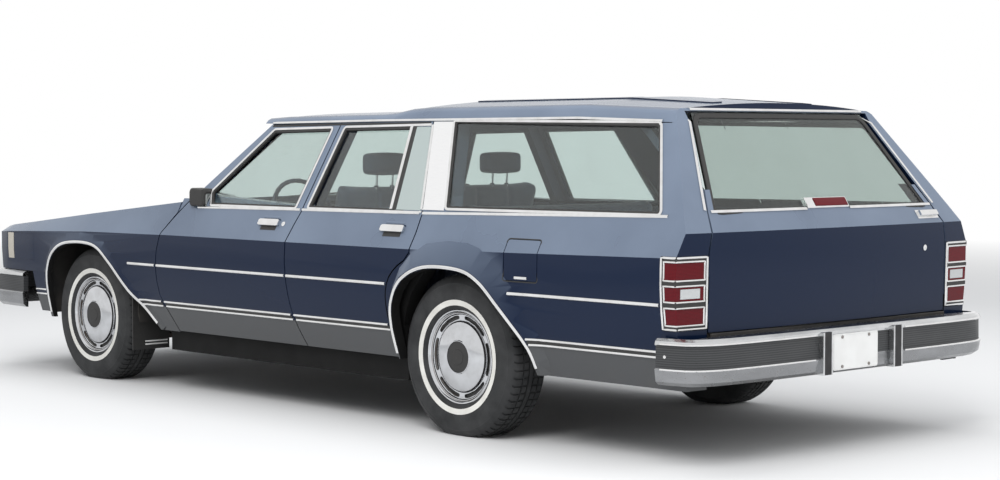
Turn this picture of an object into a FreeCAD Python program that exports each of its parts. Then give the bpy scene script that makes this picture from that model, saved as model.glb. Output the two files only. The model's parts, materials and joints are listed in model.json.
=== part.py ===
"""Full-size station wagon of the 1980s, left-hand drive, on a separate frame.

The origin lies on the ground at the middle of the overall length. +X is the nose, +Y the
driver's side and +Z is up. All sizes are in millimetres. Panels, doors and glass are cut
from one body envelope, so that a change of the envelope moves them all together.
"""
import FreeCAD
import Part
import math
import os

# Overall places along the car
OVERALL_LENGTH = 5479.0
WHEELBASE = 2946.0
FRONT_OVERHANG = 1057.5
NOSE_X = OVERALL_LENGTH / 2
TAIL_X = -OVERALL_LENGTH / 2
FRONT_AXLE_X = NOSE_X - FRONT_OVERHANG
REAR_AXLE_X = FRONT_AXLE_X - WHEELBASE
FAR = 3200.0

# Wheels and tyres
AXLE_Z = 343.0
TYRE_RADIUS = 359.0
TYRE_WIDTH = 218.0
RIM_RADIUS = 192.0
FRONT_TRACK = 1580.0
REAR_TRACK = 1628.0
KINGPIN_Y = 700.0
SPINDLE_RADIUS = 20.0
RUNNING_CLEARANCE = 0.3
WHEEL_FACETS = 40
RIM_FACETS = 20
WHEEL_SLOTS = 8

# Panels
SEAM_GAP = 7.0
HALF_GAP = SEAM_GAP / 2
SKIN = 16.0
DOOR_SKIN = 40.0
DOOR_DEPTH = 110.0
FRAME_SKIN = 30.0
PILLAR_DEPTH = 70.0
GLASS_THICKNESS = 5.0
SEAL_GAP = 5.0

# Heights of the body
SILL_Z = 308.0
WAIST_Z = 540.0
SIDE_TOP_Z = 1400.0
SIDE_SEGMENTS = 5
CROWN_SEGMENTS = 8
FLOOR_Z = 320.0
FLOOR_THICKNESS = 12.0
FLOOR_HALF_WIDTH = 785.0
LOAD_FLOOR_Z = 590.0
ROCKER_BOTTOM_Z = 205.0

# Sections of the cabin side, from front to rear. Columns: x, half width at the sill, at the
# waist, at the crease, height of the crease, half width and height of the belt, half width of
# the roof side at SIDE_TOP_Z.
CABIN_SECTIONS = [
    (1000.0, 897.0, 954.0, 966.0, 800.0, 887.0, 950.0, 629.0),
    (-1000.0, 898.0, 956.0, 969.0, 802.0, 889.0, 958.0, 636.0),
    (-2660.0, 900.0, 955.0, 968.0, 828.0, 877.0, 1000.0, 648.0),
]

# Sections of the front end. Columns: x, half width at the sill, at the waist, at the crease,
# height of the crease, half width and height of the fender crest, crown of the hood.
FRONT_SECTIONS = [
    (860.0, 897.0, 954.0, 966.0, 800.0, 884.0, 966.0, 26.0),
    (1682.0, 893.0, 950.0, 961.0, 792.0, 892.0, 887.0, 28.0),
    (2250.0, 888.0, 940.0, 950.0, 776.0, 890.0, 829.0, 24.0),
    (2520.0, 876.0, 924.0, 934.0, 767.0, 880.0, 803.0, 19.0),
    (2600.0, 862.0, 908.0, 918.0, 762.0, 864.0, 792.0, 17.0),
]

# Roof sections from front to rear. Columns: x, height of the gutter, of the side edge and of
# the crown in the middle.
ROOF_SECTIONS = [
    (455.0, 1362.0, 1380.0, 1402.0),
    (300.0, 1362.0, 1387.0, 1420.0),
    (-430.0, 1368.0, 1392.0, 1425.0),
    (-520.0, 1369.0, 1400.0, 1440.0),
    (-620.0, 1370.0, 1416.0, 1464.0),
    (-740.0, 1370.0, 1422.0, 1471.0),
    (-1740.0, 1371.0, 1424.0, 1473.0),
    (-2340.0, 1351.0, 1399.0, 1434.0),
]
ROOF_THICKNESS = 24.0
ROOF_SHOULDER = 46.0
ROOF_REAR_BAR_X = -2240.0
ROOF_REAR_Z = 1399.0
ROOF_RIB_Y = 300.0
ROOF_RIB_WIDTH = 60.0
ROOF_RIB_HEIGHT = 5.0

# Rear face seen from the side: x and z of the lower edge, the crease and the roof edge. From
# above, its ends lie further forward by the crown.
TAIL_PROFILE = [(-2598.0, 500.0), (-2606.0, 920.0), (-2291.0, 1410.0)]
TAIL_CROWN = 30.0
TAIL_CROWN_Y = 968.0
TAIL_STATIONS = [-1200.0, -800.0, -400.0, 0.0, 400.0, 800.0, 1200.0]

# Door seams in the side view, from top to bottom, as x and z
FRONT_SEAM_TOP = (400.0, 1357.0)
FRONT_SEAM_BEND = [(792.0, 985.0), (934.0, 812.0), (982.0, 643.0), (970.0, 491.0), (919.0, 408.0), (861.0, 308.0)]
MIDDLE_SEAM_TOP = (-150.0, 1364.0)
MIDDLE_SEAM_BEND = [(-140.0, 942.0), (-109.0, 805.0), (-106.0, 644.0), (-129.0, 465.0), (-195.0, 308.0)]
REAR_SEAM_TOP = (-814.0, 1368.0)
REAR_SEAM_BEND = [(-1004.0, 951.0), (-1005.0, 788.0), (-924.0, 726.0), (-865.0, 673.0), (-838.0, 612.0),
                  (-831.0, 543.0), (-845.0, 441.0), (-880.0, 345.0), (-890.0, 308.0)]
SEAM_STEPS = 2

# Windows in the side view, as x and z of the glass opening's corners
FRONT_WINDOW = [(600.0, 962.0), (640.0, 1020.0), (350.0, 1325.0), (-97.0, 1332.0), (-84.0, 962.0)]
REAR_WINDOW = [(-186.0, 965.0), (-199.0, 1334.0), (-700.0, 1340.0), (-866.0, 966.0)]
QUARTER_WINDOW = [(-1150.0, 985.0), (-965.0, 1366.0), (-2225.0, 1345.0), (-2410.0, 992.0)]
DOOR_WINDOW_RADIUS = 22.0
QUARTER_WINDOW_RADIUS = 38.0

# Wheel arches in the side view, from the front foot over the top. Columns: x from the axle, z,
# and how far the flare spreads.
FRONT_ARCH = [(395.0, 300.0, 40.0), (385.0, 430.0, 40.0), (362.0, 560.0, 50.0), (290.0, 665.0, 60.0),
              (150.0, 720.0, 60.0), (-110.0, 720.0, 60.0), (-258.0, 641.0, 60.0), (-430.0, 493.0, 55.0),
              (-552.0, 418.0, 45.0), (-672.0, 300.0, 40.0)]
REAR_ARCH = [(364.0, 300.0, 24.0), (370.0, 450.0, 24.0), (353.0, 560.0, 34.0), (280.0, 662.0, 70.0),
             (130.0, 722.0, 110.0), (-90.0, 722.0, 120.0), (-210.0, 680.0, 120.0), (-312.0, 593.0, 110.0),
             (-465.0, 432.0, 80.0), (-512.0, 300.0, 60.0)]
ARCH_STEPS = 2
LIP_WIDTH = 22.0
FRONT_FLARE = 9.0
REAR_FLARE = 30.0

# Doors
DOOR_SPLIT_Z = 950.0
DOOR_STEP = 32.0
FRAME_LAP = 22.0
GLASS_INSET = 14.0
GLASS_LAP = 8.0
DOOR_HANDLES = {"front": (-10.0, 140.0, 876.0, 904.0), "rear": (-925.0, -775.0, 876.0, 904.0)}
HANDLE_PROUD = 14.0
HANDLE_THICKNESS = 9.0
HANDLE_RECESS = 16.0
HANDLE_END = 16.0

# Hood, header panel and lamps at the nose
HOOD_THICKNESS = 32.0
HOOD_HALF_WIDTH = 800.0
HOOD_REAR_X = 950.0
HOOD_FRONT_X = 2520.0
HEADER_FRONT_X = 2600.0
HEADER_BOTTOM_Z = 560.0
HEADER_DEPTH = 12.0
GRILLE_HALF_WIDTH = 430.0
GRILLE_BOTTOM_Z = 590.0
GRILLE_TOP_Z = 750.0
GRILLE_BARS = 25
GRILLE_BAR_WIDTH = 8.0
GRILLE_DEPTH = 34.0
GRILLE_BACK = 6.0
GRILLE_EDGE = 10.0
HEADLAMP_INNER_Y = 460.0
HEADLAMP_OUTER_Y = 840.0
HEADLAMP_GAP = 14.0
CORNER_LAMP = (2195.0, 2500.0, 618.0, 762.0)
CORNER_LAMP_DEPTH = 40.0

# Bumpers. Plan columns: x back from the face at the middle, half width. Level columns: z, and
# how far the face lies back there.
REAR_BUMPER_PLAN = [(0.0, 0.0), (2.0, 520.0), (14.0, 800.0), (42.0, 912.0), (95.0, 978.0), (230.0, 1006.0)]
REAR_BUMPER_LEVELS = [(335.0, 30.0), (350.0, 8.0), (398.0, 0.0), (405.0, 8.0), (488.0, 9.0), (494.0, 1.0),
                      (508.0, 5.0), (518.0, 20.0)]
FRONT_BUMPER_PLAN = [(0.0, 0.0), (6.0, 480.0), (28.0, 760.0), (66.0, 878.0), (140.0, 944.0), (440.0, 965.0)]
FRONT_BUMPER_LEVELS = [(350.0, 26.0), (368.0, 6.0), (430.0, 0.0), (438.0, 8.0), (520.0, 9.0), (526.0, 1.0),
                       (540.0, 5.0), (550.0, 20.0)]
BUMPER_DEPTH = 110.0
BUMPER_WALL = 38.0
BUMPER_STEPS = 2
GUARD_Y = (236.0, -236.0)
GUARD_WIDTH = 62.0
GUARD_PROUD = 12.0
PLATE_Y = 30.0
PLATE_Z = 420.0
POCKET_HALF_WIDTH = 200.0
PLATE_HALF_HEIGHT = 80.0
PLATE_RECESS = 12.0
PLATE_SPACING_Y = 177.8
PLATE_SPACING_Z = 120.7
PLATE_HOLE_RADIUS = 3.2

# Tail lamps
LAMP_FRONT_X = -2493.0
LAMP_INNER_Y = 795.0
LAMP_BOTTOM_Z = 544.0
LAMP_TOP_Z = 833.0
LAMP_DEPTH = 60.0
LAMP_PROUD = 2.0
LENS_HEIGHTS = [(565.0, 632.0), (657.0, 717.0), (740.0, 811.0)]
LENS_THICKNESS = 5.0
LENS_MARGIN = 14.0

# Tailgate, and its left edge as y and z, and that of the body corner beside it
GATE_DEPTH = 75.0
GATE_GLASS_LOW_Y = 720.0
GATE_GLASS_LOW_Z = 985.0
GATE_GLASS_TOP_Y = 560.0
GATE_GLASS_TOP_Z = 1392.0
GATE_OUTLINE = [(785.0, 530.0), (785.0, 835.0), (768.0, 920.0), (739.0, 1000.0), (700.0, 1085.0), (672.0, 1085.0),
                (706.0, 1000.0)]
TAIL_CORNER = [(793.0, 300.0), (793.0, 837.0), (776.0, 924.0), (746.0, 1003.0), (708.0, 1090.0), (571.0, 1398.0),
               (571.0, 1440.0), (1300.0, 1440.0), (1300.0, 300.0)]
QUARTER_TOP_Z = 1366.0
GATE_HINGE_HEIGHTS = (575.0, 750.0)

# Fuel door in the left quarter panel: x and z limits, and the groove round it
FUEL_DOOR = (-1812.0, -1608.0, 694.0, 870.0)
FUEL_DOOR_GROOVE = 4.0

# Middle line of a frame rail. Columns: x, y, z.
RAIL_HALF_WIDTH = 35.0
RAIL_HALF_HEIGHT = 45.0
RAIL_PATH = [(NOSE_X - 110.0, 400.0, 400.0), (1250.0, 400.0, 350.0), (1010.0, 600.0, 275.0), (-850.0, 600.0, 275.0),
             (-1020.0, 495.0, 545.0), (-2500.0, 495.0, 545.0)]

# Cross members of the frame. Columns: x, y of the rail, z, width.
CROSS_MEMBERS = [(2540.0, 400.0, 392.0, 60.0), (FRONT_AXLE_X, 400.0, 350.0, 150.0), (300.0, 600.0, 275.0, 90.0),
                 (-800.0, 600.0, 275.0, 80.0), (-2480.0, 495.0, 545.0, 60.0)]
CROSS_HALF_HEIGHT = 32.0

# Steering wheel
STEERING_Y = 390.0
STEERING_WHEEL_RADIUS = 185.0
RING_FACETS = 28
RING_SIDES = 6


def point(x, y, z):
    """Return a vector."""
    return FreeCAD.Vector(x, y, z)


def box(x_low, x_high, y_low, y_high, z_low, z_high):
    """Return a box from its limits."""
    return Part.makeBox(x_high - x_low, y_high - y_low, z_high - z_low, point(x_low, y_low, z_low))


def polygon(corners):
    """Return the closed wire through corner points."""
    return Part.makePolygon(corners + corners[:1])


def prism_y(outline, y_low, y_high):
    """Extrude an outline of (x, z) points along Y."""
    return Part.Face(polygon([point(x, y_low, z) for x, z in outline])).extrude(point(0, y_high - y_low, 0))


def prism_x(outline, x_low, x_high):
    """Extrude an outline of (y, z) points along X."""
    return Part.Face(polygon([point(x_low, y, z) for y, z in outline])).extrude(point(x_high - x_low, 0, 0))


def prism_z(outline, z_low, z_high):
    """Extrude an outline of (x, y) points along Z."""
    return Part.Face(polygon([point(x, y, z_low) for x, y in outline])).extrude(point(0, 0, z_high - z_low))


def tube_y(x, z, radius, y_low, y_high):
    """Return a round bar along Y."""
    return Part.makeCylinder(radius, y_high - y_low, point(x, y_low, z), point(0, 1, 0))


def bar(start, end, radius, end_radius=None, sides=12):
    """Return a faceted bar between two points, tapered where an end radius is given."""
    along = (end - start).normalize()
    across = along.cross(point(0, 0, 1) if abs(along.z) < 0.9 else point(1, 0, 0)).normalize()
    up = along.cross(across)
    rings = []
    for middle, reach in ((start, radius), (end, end_radius or radius)):
        rings.append([middle + across * (reach * math.cos(2 * math.pi * k / sides))
                      + up * (reach * math.sin(2 * math.pi * k / sides)) for k in range(sides)])
    return loft([polygon(ring) for ring in rings])


def arc_points(start, middle, end, segments):
    """Return points along the arc from start over middle to end, both ends included."""
    curve = Part.Arc(start, middle, end)
    first, last = curve.FirstParameter, curve.LastParameter
    return [curve.value(first + (last - first) * k / segments) for k in range(segments + 1)]


def facets_between(sections, closed):
    """Return the flat faces between sections of as many points each."""
    faces = []
    following = sections[1:] + sections[:1] if closed else sections[1:]
    for here, ahead in zip(sections, following):
        for low in range(len(here)):
            high = (low + 1) % len(here)
            if closed:
                faces.append(Part.Face(polygon([here[low], here[high], ahead[high], ahead[low]])))
            else:
                faces.append(Part.Face(polygon([here[low], here[high], ahead[high]])))
                faces.append(Part.Face(polygon([here[low], ahead[high], ahead[low]])))
    return faces


def turned(profile, centre, facets):
    """Return a faceted solid turned about the Y axis through a centre, from (radius, y) points."""
    rings = []
    for index in range(facets):
        angle = 2 * math.pi * index / facets
        rings.append([centre + point(r * math.cos(angle), y, r * math.sin(angle)) for r, y in profile])
    return Part.Solid(Part.Shell(facets_between(rings, True)))


def skinned(sections):
    """Return a faceted solid through sections of as many points, with flat ends."""
    faces = facets_between(sections, False)
    faces += [Part.Face(polygon(sections[0])), Part.Face(polygon(sections[-1]))]
    solid = Part.Solid(Part.Shell(faces))
    return solid if solid.Volume > 0 else solid.reversed()


def smooth(points, steps):
    """Return points of a smooth curve through the given ones, some steps per span."""
    padded = [points[0]] + points + [points[-1]]
    curve = []
    for a, b, c, d in zip(padded, padded[1:], padded[2:], padded[3:]):
        for step in range(steps):
            t = step / steps
            curve.append(tuple(q + t * (r - p) / 2 + t * t * (2 * p - 5 * q + 4 * r - s) / 2
                               + t * t * t * (3 * q - p - 3 * r + s) / 2 for p, q, r, s in zip(a, b, c, d)))
    return curve + [points[-1]]


def rounded(outline, radius, steps=3):
    """Return a closed outline with its corners rounded."""
    result = []
    for before, corner, after in zip(outline[-1:] + outline[:-1], outline, outline[1:] + outline[:1]):
        ends = []
        for other in (before, after):
            reach = min(radius / math.dist(corner, other), 0.45)
            ends.append([c + reach * (o - c) for c, o in zip(corner, other)])
        for step in range(steps + 1):
            t = step / steps
            result.append(tuple((1 - t) ** 2 * p + 2 * t * (1 - t) * c + t * t * q
                                for p, c, q in zip(ends[0], corner, ends[1])))
    return result


def moved_out(line, shifts):
    """Return an open line of points moved to the right of its direction, by a shift at each point."""
    result = []
    for index, (here, shift) in enumerate(zip(line, shifts)):
        before = line[max(index - 1, 0)]
        after = line[min(index + 1, len(line) - 1)]
        length = math.dist(before, after)
        result.append((here[0] - (before[1] - after[1]) / length * shift, here[1] + (before[0] - after[0]) / length * shift))
    return result


def mirrored(shape):
    """Return the shape mirrored to the other side of the car."""
    return shape.mirror(point(0, 0, 0), point(0, 1, 0))


def fused(shapes):
    """Fuse a list of shapes."""
    if len(shapes) == 1:
        return shapes[0]
    return shapes[0].multiFuse(shapes[1:])


def both_sides(shape):
    """Return a shape of the left side with its mirror image, as one compound."""
    return Part.makeCompound(shape.Solids + mirrored(shape).Solids)


def loft(wires):
    """Return the ruled solid through closed wires."""
    return Part.makeLoft(wires, True, True)


def between(value, low, high):
    """Return where value lies between low and high, as 0 to 1."""
    return (value - low) / (high - low)


def section_at(sections, x):
    """Return a section's columns at x, worked out between the two nearest."""
    for front, rear in zip(sections, sections[1:]):
        if (x - front[0]) * (x - rear[0]) <= 0:
            break
    share = between(x, front[0], rear[0])
    return [a + share * (b - a) for a, b in zip(front, rear)]


def side_at(x, z):
    """Return the half width of the glass side at x and z, above the belt."""
    columns = section_at(CABIN_SECTIONS, x)
    belt_y, belt_z, top_y = columns[5:8]
    return belt_y + between(z, belt_z, SIDE_TOP_Z) * (top_y - belt_y)


def body_at(sections, x, z):
    """Return the half width of the lower body side at x and z, on the arc of its section."""
    sill_y, waist_y, crease_y, crease_z = section_at(sections, x)[1:5]
    heights = (SILL_Z, WAIST_Z, crease_z)
    total = 0.0
    for index, width in enumerate((sill_y, waist_y, crease_y)):
        weight = 1.0
        for other in range(3):
            if other != index:
                weight *= (z - heights[other]) / (heights[index] - heights[other])
        total += width * weight
    return total


def side_points(foot, waist, crease, inset):
    """Return the points of the body side up to the crease: along an arc outside, plain inside."""
    if inset <= 0:
        return arc_points(foot, waist, crease, SIDE_SEGMENTS)
    return [foot, waist, crease]


def cabin_envelope(inset):
    """Return the left half of the cabin side, inset from the outer surface."""
    reach = inset + 1.0
    wires = []
    for x, sill_y, waist_y, crease_y, crease_z, belt_y, belt_z, top_y in CABIN_SECTIONS:
        foot = point(x, sill_y - inset, SILL_Z)
        crease = point(x, crease_y - inset, crease_z)
        low_corner = point(x, sill_y - inset, SILL_Z - reach)
        low_middle = point(x, -reach, SILL_Z - reach)
        high_middle = point(x, -reach, SIDE_TOP_Z + reach)
        high_corner = point(x, top_y - inset, SIDE_TOP_Z + reach)
        belt = point(x, belt_y - inset, belt_z)
        top = point(x, top_y - inset, SIDE_TOP_Z)
        side = side_points(foot, point(x, waist_y - inset, WAIST_Z), crease, inset)
        wires.append(polygon([high_middle, low_middle, low_corner] + side + [belt, top, high_corner]))
    return loft(wires)


def front_envelope(inset):
    """Return the left half of the front end, inset from the outer surface."""
    reach = inset + 1.0
    wires = []
    for x, sill_y, waist_y, crease_y, crease_z, crest_y, crest_z, crown in FRONT_SECTIONS:
        foot = point(x, sill_y - inset, SILL_Z)
        crease = point(x, crease_y - inset, crease_z - inset / 2)
        crest = point(x, crest_y - inset, crest_z - inset)
        middle = point(x, 0, crest_z + crown - inset)
        radius = (crest_y * crest_y + crown * crown) / (2 * crown)
        half_y = (crest_y - inset) / 2
        sag = radius - math.sqrt(radius * radius - half_y * half_y)
        side = side_points(foot, point(x, waist_y - inset, WAIST_Z), crease, inset)
        top = arc_points(crest, point(x, half_y, crest_z + crown - inset - sag), middle, CROWN_SEGMENTS)
        wires.append(polygon([point(x, 0, SILL_Z - reach), point(x, sill_y - inset, SILL_Z - reach)] + side + top))
    return loft(wires)


def layer(envelope, outer, inner):
    """Return the skin of an envelope between two insets."""
    return envelope(outer).cut(envelope(inner))


def tail_front(inset):
    """Return the space in front of the crowned rear face, inset from it."""
    low, crease, high = TAIL_PROFILE
    front_x = CABIN_SECTIONS[0][0] + 100.0
    wires = []
    for y in TAIL_STATIONS:
        back = inset + TAIL_CROWN * (y / TAIL_CROWN_Y) ** 2
        outline = [(front_x, 150.0), (low[0] + back, 150.0), (low[0] + back, low[1]), (crease[0] + back, crease[1]),
                   (high[0] + back, high[1]), (high[0] + back, 1600.0), (front_x, 1600.0)]
        wires.append(polygon([point(x, y, z) for x, z in outline]))
    return loft(wires)


def grown_prism(outline, shift, y_low=300.0, y_high=1300.0):
    """Extrude an outline of (x, z) points, moved outwards by a shift, along Y."""
    wire = polygon([point(x, y_low, z) for x, z in outline])
    if shift:
        wire = wire.makeOffset2D(shift, 2, False, False, True)
    return Part.Face(wire).extrude(point(0, y_high - y_low, 0))


def roof_block(inset):
    """Return the roof cap with rounded shoulders, inset from its outer surface."""
    wires = []
    for x, gutter_z, edge_z, crown_z in ROOF_SECTIONS:
        low_z = gutter_z - (inset + 1 if inset > 0 else 0)
        low_y = side_at(x, gutter_z) - inset
        side_y = side_at(x, edge_z - ROOF_SHOULDER / 3) - inset
        edge_y = side_at(x, edge_z) - inset
        low_side = point(x, side_y, max(edge_z - ROOF_SHOULDER / 3 - inset, low_z + 1))
        bend = point(x, edge_y - ROOF_SHOULDER / 8, edge_z - inset)
        top_side = point(x, edge_y - ROOF_SHOULDER, edge_z - inset + ROOF_SHOULDER / 6)
        half = [point(x, low_y, low_z)] + arc_points(low_side, bend, top_side, 3)
        other = [point(x, -p.y, p.z) for p in half[::-1]]
        crown = arc_points(top_side, point(x, 0, crown_z - inset), other[0], 2 * CROWN_SEGMENTS)
        wires.append(polygon(half + crown[1:-1] + other))
    return loft(wires)


def flare(sections, axle_x, arch, proud):
    """Return the raised edge round a wheel arch, which runs out into the body side."""
    line = [(axle_x + x, z) for x, z, _ in arch]
    lip = moved_out(line, [LIP_WIDTH] * len(line))
    base = moved_out(line, [spread for _, _, spread in arch])
    slices = []
    for edge, rim, foot in zip(line, lip, base):
        edge_y = body_at(sections, edge[0], max(edge[1], SILL_Z))
        rim_y = body_at(sections, rim[0], max(rim[1], SILL_Z))
        foot_y = body_at(sections, foot[0], max(foot[1], SILL_Z))
        slices.append([point(edge[0], edge_y + proud, edge[1]), point(rim[0], rim_y + proud, rim[1]),
                       point(foot[0], foot_y - 1.0, foot[1]), point(foot[0], foot_y - SKIN, foot[1]),
                       point(edge[0], edge_y - SKIN, edge[1])])
    return skinned(slices).common(box(-FAR, FAR, 0, 1300, SILL_Z, 1000))


# Seams and outlines worked out from the tables
FRONT_SEAM = [FRONT_SEAM_TOP] + smooth(FRONT_SEAM_BEND, SEAM_STEPS)
MIDDLE_SEAM = [MIDDLE_SEAM_TOP] + smooth(MIDDLE_SEAM_BEND, SEAM_STEPS)
REAR_SEAM = [REAR_SEAM_TOP] + smooth(REAR_SEAM_BEND, SEAM_STEPS)
front_arch = smooth(FRONT_ARCH, ARCH_STEPS)
rear_arch = smooth(REAR_ARCH, ARCH_STEPS)
front_arch_hole = [(FRONT_AXLE_X + x, z) for x, z, _ in front_arch]
rear_arch_hole = [(REAR_AXLE_X + x, z) for x, z, _ in rear_arch]
front_window = rounded(FRONT_WINDOW, DOOR_WINDOW_RADIUS)
rear_window = rounded(REAR_WINDOW, DOOR_WINDOW_RADIUS)
quarter_window = rounded(QUARTER_WINDOW, QUARTER_WINDOW_RADIUS)
front_door_outline = FRONT_SEAM + MIDDLE_SEAM[::-1]
rear_door_outline = MIDDLE_SEAM + REAR_SEAM[::-1]

# Skins of the body that panels are cut from
tail_space = tail_front(0.0)
cabin = cabin_envelope(0.0)
side_skin = cabin.cut(cabin_envelope(SKIN))
door_outer = cabin.cut(cabin_envelope(DOOR_SKIN))
door_inner = layer(cabin_envelope, DOOR_SKIN, DOOR_DEPTH)
frame_skin = cabin.cut(cabin_envelope(FRAME_SKIN))
pillar_skin = layer(cabin_envelope, FRAME_SKIN + SEAL_GAP, FRAME_SKIN + SEAL_GAP + PILLAR_DEPTH)
jamb_skin = layer(cabin_envelope, DOOR_SKIN + SEAL_GAP, DOOR_DEPTH + SEAL_GAP)
seal_skin = layer(cabin_envelope, DOOR_SKIN + RUNNING_CLEARANCE, DOOR_SKIN + SEAL_GAP)
door_glass_skin = layer(cabin_envelope, GLASS_INSET, GLASS_INSET + GLASS_THICKNESS)
recess_skin = layer(cabin_envelope, -1.0, HANDLE_RECESS)
handle_skin = layer(cabin_envelope, -HANDLE_PROUD, HANDLE_THICKNESS - HANDLE_PROUD)
handle_end_skin = layer(cabin_envelope, -HANDLE_PROUD, 1.0)
front_skin = layer(front_envelope, 0.0, SKIN)
hood_skin = layer(front_envelope, 0.0, HOOD_THICKNESS)
roof_outer = roof_block(0.0)

parts = {}


# Doors with their glass and handles
def make_door(outline, window, handle):
    """Return a door, its lower box deep and its window frame thin, and its glass."""
    low_space = box(-FAR, FAR, 0, 1300, 0, DOOR_SPLIT_Z)
    high_space = box(-FAR, FAR, 0, 1300, DOOR_SPLIT_Z, 2000)
    outer_space = grown_prism(outline, -HALF_GAP)
    inner_space = grown_prism(outline, -HALF_GAP - DOOR_STEP)
    x_low, x_high, z_low, z_high = handle
    middle = box(x_low + HANDLE_END, x_high - HANDLE_END, 0, 1300, z_low - 10, z_high + 10)
    lower = door_outer.common(outer_space).common(low_space).cut(recess_skin.common(middle))
    inner = door_inner.common(inner_space).common(low_space)
    frame = frame_skin.common(outer_space).common(high_space)
    grip = handle_skin.common(box(x_low, x_high, 0, 1300, z_low, z_high))
    ends = [handle_end_skin.common(box(x, x + HANDLE_END, 0, 1300, z_low, z_high))
            for x in (x_low, x_high - HANDLE_END)]
    whole = fused([lower, inner, frame, grip] + ends).cut(grown_prism(window, 0))
    slot = door_glass_skin.common(grown_prism(window, GLASS_LAP))
    return whole.cut(slot), slot


for place, outline, window in (("front", front_door_outline, front_window), ("rear", rear_door_outline, rear_window)):
    door, glass = make_door(outline, window, DOOR_HANDLES[place])
    parts["door_%s_left" % place] = door
    parts["door_glass_%s_left" % place] = glass

# Roof with its rear bar and two ribs
roof_shell = roof_outer.cut(roof_block(ROOF_THICKNESS)).common(box(ROOF_REAR_BAR_X, FAR, -1300, 1300, 0, 2000))
rear_bar = roof_outer.common(box(-FAR, ROOF_REAR_BAR_X, -1300, 1300, ROOF_REAR_Z, 2000))
side_caps = roof_outer.common(box(-FAR, ROOF_REAR_BAR_X, -1300, 1300, 0, ROOF_REAR_Z))
side_caps = side_caps.cut(box(-FAR, FAR, -TAIL_CORNER[5][0] - 30, TAIL_CORNER[5][0] + 30, 0, 2000))
rib_space = [box(-2200, -760, side * ROOF_RIB_Y - ROOF_RIB_WIDTH / 2, side * ROOF_RIB_Y + ROOF_RIB_WIDTH / 2, 1300, 1600)
             for side in (1, -1)]
ribs = roof_block(-ROOF_RIB_HEIGHT).cut(roof_block(1.0)).common(Part.makeCompound(rib_space))
roof = fused([roof_shell, rear_bar, side_caps, ribs]).common(tail_space)
parts["roof"] = roof

# Quarter panels with the flared arch, the lamp corner and the rear pillar
quarter_outline = REAR_SEAM + [(-935.0, 250.0), (-2700.0, 250.0), (-2700.0, 1420.0), (-2285.0, 1420.0),
                               (-2285.0, QUARTER_TOP_Z - 16.0), (-1000.0, QUARTER_TOP_Z)]
rear_face = cabin.common(tail_space.cut(tail_front(SKIN))).common(prism_x(TAIL_CORNER, -2700.0, -2200.0))
quarter = side_skin.common(tail_space).common(prism_y(quarter_outline, 300.0, 1300.0))
quarter = quarter.common(grown_prism(REAR_SEAM + [(-FAR, 200.0), (-FAR, 1440.0)], -HALF_GAP))
quarter = fused([quarter, rear_face.common(box(-2700, -2000, 0, 1300, SILL_Z, QUARTER_TOP_Z + 18)),
                 flare(CABIN_SECTIONS, REAR_AXLE_X, rear_arch, REAR_FLARE)])
quarter = quarter.cut(grown_prism(quarter_window, 0)).cut(grown_prism(rear_arch_hole, 0))
lamp_space = box(-2700.0, LAMP_FRONT_X, LAMP_INNER_Y, 1300.0, LAMP_BOTTOM_Z, LAMP_TOP_Z)
quarter = quarter.cut(lamp_space).cut(roof_outer)
quarter = quarter.cut(grown_prism(rear_door_outline, HALF_GAP))
parts["quarter_panel_left"] = quarter


# Tail lamps: a bezel with three lenses on each side
def lamp_body(inset):
    """Return the body corner, inset from its side and rear face."""
    return cabin_envelope(inset).common(tail_front(inset))


lamp_back = LAMP_PROUD - LENS_THICKNESS - 1.0
lamp_box = box(-2700, LAMP_FRONT_X - RUNNING_CLEARANCE, LAMP_INNER_Y + RUNNING_CLEARANCE, 1300,
               LAMP_BOTTOM_Z + RUNNING_CLEARANCE, LAMP_TOP_Z - RUNNING_CLEARANCE)
lamp_outer = lamp_body(-LAMP_PROUD).common(lamp_box)
windows = [box(-2700, LAMP_FRONT_X - LENS_MARGIN, LAMP_INNER_Y + LENS_MARGIN, 1300, low, high)
           for low, high in LENS_HEIGHTS]
pocket = lamp_outer.cut(lamp_body(LENS_THICKNESS)).common(Part.makeCompound(windows))
parts["tail_lamps"] = both_sides(lamp_outer.cut(lamp_body(LAMP_DEPTH)).cut(pocket))
lenses = lamp_body(0.0).cut(lamp_body(LENS_THICKNESS)).common(Part.makeCompound(windows))
parts["tail_lamp_lenses"] = both_sides(lenses)

# Front fenders with their corner lamps
lamp_x_low, lamp_x_high, lamp_z_low, lamp_z_high = CORNER_LAMP
fender_outline = [(2600.0, 900.0), (780.0, 1010.0)] + FRONT_SEAM[1:] + [(861.0, 250.0), (2600.0, 250.0)]
fender = front_skin.common(prism_y(fender_outline, 100.0, 1300.0))
side_front = side_skin.common(prism_y(fender_outline, 100.0, 1300.0)).common(box(700, 860, 0, 1300, 0, 985))
fender = fused([fender, side_front]).cut(box(700, 2700, 0, HOOD_HALF_WIDTH + SEAM_GAP, 600, 1200))
fender = fused([fender, flare(FRONT_SECTIONS, FRONT_AXLE_X, front_arch, FRONT_FLARE)])
fender = fender.cut(grown_prism(front_arch_hole, 0))
fender = fender.cut(grown_prism(FRONT_SEAM + [(-500.0, 308.0), (-500.0, 1357.0)], HALF_GAP))
bumper_room_z = FRONT_BUMPER_LEVELS[-1][0] + 5
fender = fender.cut(box(2110, 2700, 0, 1300, 0, bumper_room_z))
fender = fender.cut(box(lamp_x_low, lamp_x_high, 850, 1300, lamp_z_low, lamp_z_high))
parts["fender_left"] = fender
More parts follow.
